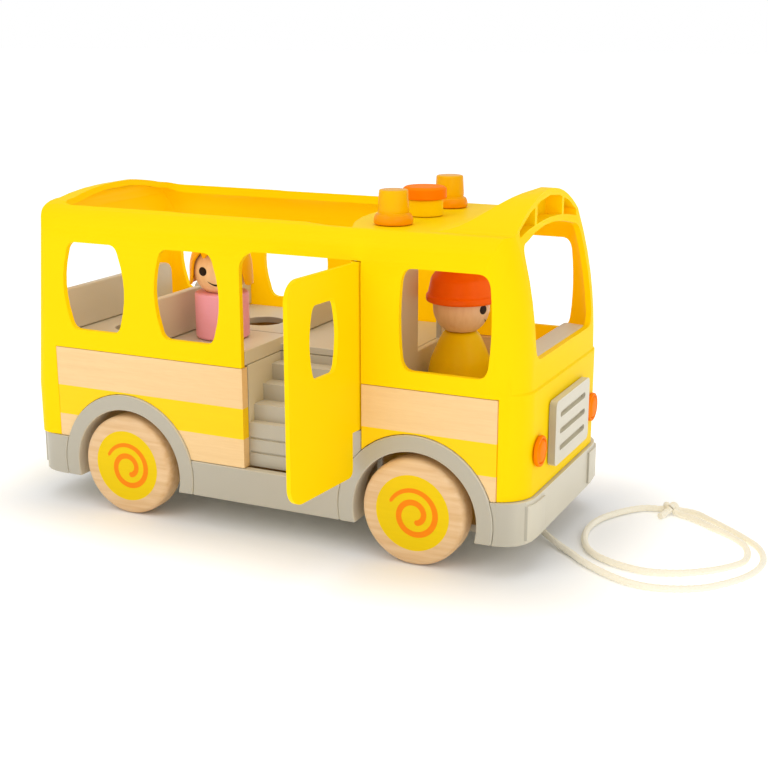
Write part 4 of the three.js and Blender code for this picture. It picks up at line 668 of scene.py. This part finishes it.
BEACON_PROFILE = [
    (0, 0), (9, 0), (9, 2.6), (8.2, 4.6), (6.9, 4.9), (7.2, 6.2), (6.6, 15.5), (0, 15.5)]
for node in ("beacon_right", "beacon_left"):
    low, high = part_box(node)
    seat = np.array([(low.x + high.x) / 2, (low.y + high.y) / 2, low.z])
    cap = softened(BEACON_PROFILE, 0.9)
    lathe(f"{node}_lens", cap, seat, "Z", [node], "bus", amber_clear)

BUTTON_WALL = 1.3
BUTTON_TOP = 1.8
BOSS_WALL = 2.0
low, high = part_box("button_boss")
boss_seat = np.array([(low.x + high.x) / 2, (low.y + high.y) / 2, low.z])
boss_height = (high.z - low.z) / MM
boss_radius = (high.y - low.y) / 2 / MM
boss_bore = boss_radius - BOSS_WALL
boss = softened([
    (boss_bore, 0), (boss_radius, 0), (boss_radius, boss_height), (boss_bore, boss_height),
    (boss_bore, 0)], 0.5)
lathe("button_boss_moulding", boss, boss_seat, "Z", ["button_boss"], "bus", yellow_abs)
low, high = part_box("horn_button")
button_seat = np.array([(low.x + high.x) / 2, (low.y + high.y) / 2, low.z])
button_radius = (high.y - low.y) / 2 / MM
button_height = (high.z - low.z) / MM
button_bore = button_radius - BUTTON_WALL
button_roof = button_height - BUTTON_TOP
button = softened([
    (0, button_roof), (button_bore, button_roof), (button_bore, 0),
    (button_radius, 0), (button_radius, button_height - 1), (button_radius - 1.4, button_height),
    (button_radius - 3.2, button_height - 0.3), (0, button_height - 0.4)], 0.5)
lathe("horn_button_cap", button, button_seat, "Z", ["horn_button"], "roof_button", orange_abs)

# The steel spring stands inside the boss and shortens as the button goes down.
low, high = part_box("button_spring")
spring = moulding("button_spring_coil", ["button_spring"], 0, "bus", drawn_steel)
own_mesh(spring)


# Peg figures: turned beech bodies painted in colour, plain wood heads with printed eyes and mouth,
# and a moulded cap or hair. Each stands with its round peg in a socket.
head_beech, tree, shader = new_finish("head_beech", Roughness=0.5, IOR=1.5)
place = put(tree, "ShaderNodeTexCoord").outputs["Object"]
fibre = noise(tree, place, (2 * MM, 2 * MM, 16 * MM), 5.0).outputs["Fac"]
tone = wood_tone(tree, fibre, 0.72, "f2ca98", "fcd8aa")
tree.links.new(tone, shader.inputs["Base Color"])

# Figure paints and prints lie on wood; the hair and the hat are ABS of the same even, satin colour. The
# hair's amber-yellow is its own yellow with painted shade in it.
yellow_paint = print_finish("yellow_figure_paint", "ffdc00", "ffd400")
pink_paint = print_finish("pink_figure_paint", "fdb6d0", "f7acc6")
face_print = print_finish("dark_face_print", "2c2018", "221812")
# Partly painted shade: the yellow hair is drawn a deeper amber-yellow, as it looks in the shade inside the
# bus.
hair_abs_with_painted_shade = print_finish("hair_yellow_with_painted_shade", "ffc000", "ffb600")
hat_abs = print_finish("red_orange_abs", "ff6c00", "fb6400")

HEAD_RADIUS = 13.6
HEAD_TRUNCATION = 0.82
FIT = 0.3
PEG_RADIUS = 10.3
PEG_HEIGHT = 12.5
EYE_APART = 30
EYE_RISE = 1
EYE_WIDTH = 10.6
EYE_HEIGHT = 9.4
MOUTH_WIDTH = 20
MOUTH_RISE = -29
MOUTH_CURVE = 9
MOUTH_PEN = 2.4
DRIVER_GAZE = 12
PASSENGER_GAZE = -70
PRINT_PROUD = 0.04
DRIVER_BODY = 27
PASSENGER_BODY = 23.4
HEAD_CUT = -0.96


def head_patch(name, centre, azimuth, height, figure):
    """A printed patch on a round head: grids of azimuth and elevation in degrees, a hair above the wood."""
    radius = (HEAD_RADIUS + PRINT_PROUD) * MM
    azimuth = np.radians(azimuth)
    height = np.radians(height)
    outward = np.stack([
        np.cos(height) * np.cos(azimuth), np.cos(height) * np.sin(azimuth), np.sin(height)], -1)
    points = outward * radius + centre
    return dressed(name, surface(name, points, False), [], 0, figure, face_print)


def peg_figure(figure, place, gaze, body_profile, body_height, paint):
    """Body, head, eyes and mouth of one figure that stands at place, in millimetres, and looks along gaze."""
    foot = np.array(place) * MM + [0, 0, GROUND]
    peg = [(0, -PEG_HEIGHT), (PEG_RADIUS, -PEG_HEIGHT), (PEG_RADIUS, FIT)]
    body = softened([*peg, *body_profile, (0, body_height)], 1.6)
    lathe(f"{figure}_body_paint", body, foot, "Z", [f"{figure}_body"], figure, paint)
    middle = body_height + FIT + HEAD_RADIUS * HEAD_TRUNCATION
    rise = np.linspace(HEAD_CUT, np.pi / 2, 28)
    ball = np.stack([HEAD_RADIUS * np.cos(rise), middle + HEAD_RADIUS * np.sin(rise)], -1)
    ball = np.concatenate([[(0, ball[0, 1])], ball])
    lathe(f"{figure}_head_ball", ball, foot, "Z", [f"{figure}_head"], figure, head_beech)
    centre = foot + [0, 0, middle * MM]
    spread = np.linspace(0, 1, 5)[:, None]
    turn = np.linspace(2 * np.pi, 0, 25)
    for side, name in ((-1, "right"), (1, "left")):
        across = gaze + side * EYE_APART + EYE_WIDTH * spread * np.cos(turn)
        upward = EYE_RISE + EYE_HEIGHT * spread * np.sin(turn)
        head_patch(f"{figure}_eye_{name}", centre, across, upward, figure)
    reach = np.linspace(-1, 1, 25)[:, None]
    pen = MOUTH_PEN * np.linspace(-1, 1, 3)[None, :] * np.sqrt(np.clip(1 - reach ** 2, 0.02, 1))
    head_patch(f"{figure}_mouth", centre, gaze + MOUTH_WIDTH * reach + 0 * pen,
               MOUTH_RISE + MOUTH_CURVE * reach ** 2 - pen, figure)
    return foot, middle


driver_foot, _ = peg_figure(
    "driver", (77.5, 0, 71), DRIVER_GAZE, [(16, FIT), (16, 5), (14.4, 13), (10.2, 23), (8, 26.6)],
    DRIVER_BODY, yellow_paint)
passenger_foot, passenger_middle = peg_figure(
    "passenger", (-44, -20, 87), PASSENGER_GAZE, [(13.5, FIT), (13.5, PASSENGER_BODY)],
    PASSENGER_BODY, pink_paint)

# The cap is a dome over a straight band, with a short peak in front and a seam line round it.
HAT_RADIUS = 17
HAT_RIM = 14
HAT_BAND = 3.4
HAT_PEAK = 0.6
HEAD_MIDDLE = 11.2
turn = np.linspace(0, 2 * np.pi, 97)[:-1]
lining = np.linspace(np.pi / 2, 0.2, 12)
lining_radius = HEAD_RADIUS + FIT
hat_lining = np.stack([lining_radius * np.cos(lining), HEAD_MIDDLE + lining_radius * np.sin(lining)], -1)
hat_profile = np.concatenate([hat_lining, softened([
    (13.9, HAT_RIM), (HAT_RADIUS, HAT_RIM), (HAT_RADIUS, HAT_RIM + 3.2), (16.2, HAT_RIM + 3.6),
    (15.9, 19), (14.6, 25.4), (10.6, 30.4), (4, 33.1), (0, 33.3)], 1.2)])
peak = np.clip(np.cos(turn - math.radians(DRIVER_GAZE)), 0, 1) ** 6 * HAT_PEAK
rim_share = np.clip((HAT_RIM + HAT_BAND - hat_profile[:, 1:]) / HAT_BAND, 0, 1)
hat_radius = (hat_profile[:, :1] + peak * rim_share) * MM
hat_height = (hat_profile[:, 1:] + DRIVER_BODY + FIT + 0 * turn) * MM
hat_points = np.stack([hat_radius * np.cos(turn), hat_radius * np.sin(turn), hat_height], -1)
hat_mesh = surface("driver_hat_cap", hat_points + driver_foot, True)
dressed("driver_hat_cap", hat_mesh, ["driver_hat"], 0, "driver", hat_abs)

# The hair is a bob: a dome whose lower edge is a notched fringe in front and hangs to the jaw elsewhere.
HAIR_FRINGE = 7.0
HAIR_LOW = -7.5
HAIR_RADIUS = 15.7
HAIR_CROWN = 5.8
HAIR_WALL = 1.2
NOTCH_WIDTH = 0.42
NOTCH_DEPTH = 3.2
FACE_HALF_WIDTH = 0.98
FACE_SOFTNESS = 0.05
fall = np.linspace(0, 1, 40)[:, None]
turn = np.linspace(-np.pi, np.pi, 161)[:-1]
face = 1 / (1 + np.exp((np.abs(turn) - FACE_HALF_WIDTH) / FACE_SOFTNESS))
notch = np.abs(np.mod(turn / NOTCH_WIDTH + 0.5, 1) - 0.5) * 2
look = turn + math.radians(PASSENGER_GAZE)
edge_height = HAIR_LOW + (HAIR_FRINGE - HAIR_LOW + NOTCH_DEPTH * notch) * face
crown = HEAD_RADIUS + HAIR_CROWN
hair_height = crown + (edge_height - crown) * fall ** 1.1
shape = np.sqrt(np.clip(1 - (np.clip(hair_height, 0, None) / crown) ** 2, 0, 1))
flare = 0.2 * np.clip(-hair_height / 6, 0, 1) ** 2
hair_radius = (shape * HAIR_RADIUS + flare) * np.clip(fall * 60, 0, 1) * MM
hair_points = np.stack([
    hair_radius * np.cos(look), hair_radius * np.sin(look), (hair_height + passenger_middle) * MM], -1)
hair_mesh = surface("passenger_hair_bob", hair_points[::-1] + passenger_foot, True)
hair = dressed(
    "passenger_hair_bob", hair_mesh, ["passenger_hair"], 0, "passenger", hair_abs_with_painted_shade)
hair_wall = hair.modifiers.new("wall", "SOLIDIFY")
hair_wall.thickness = HAIR_WALL * MM
hair_wall.offset = -1
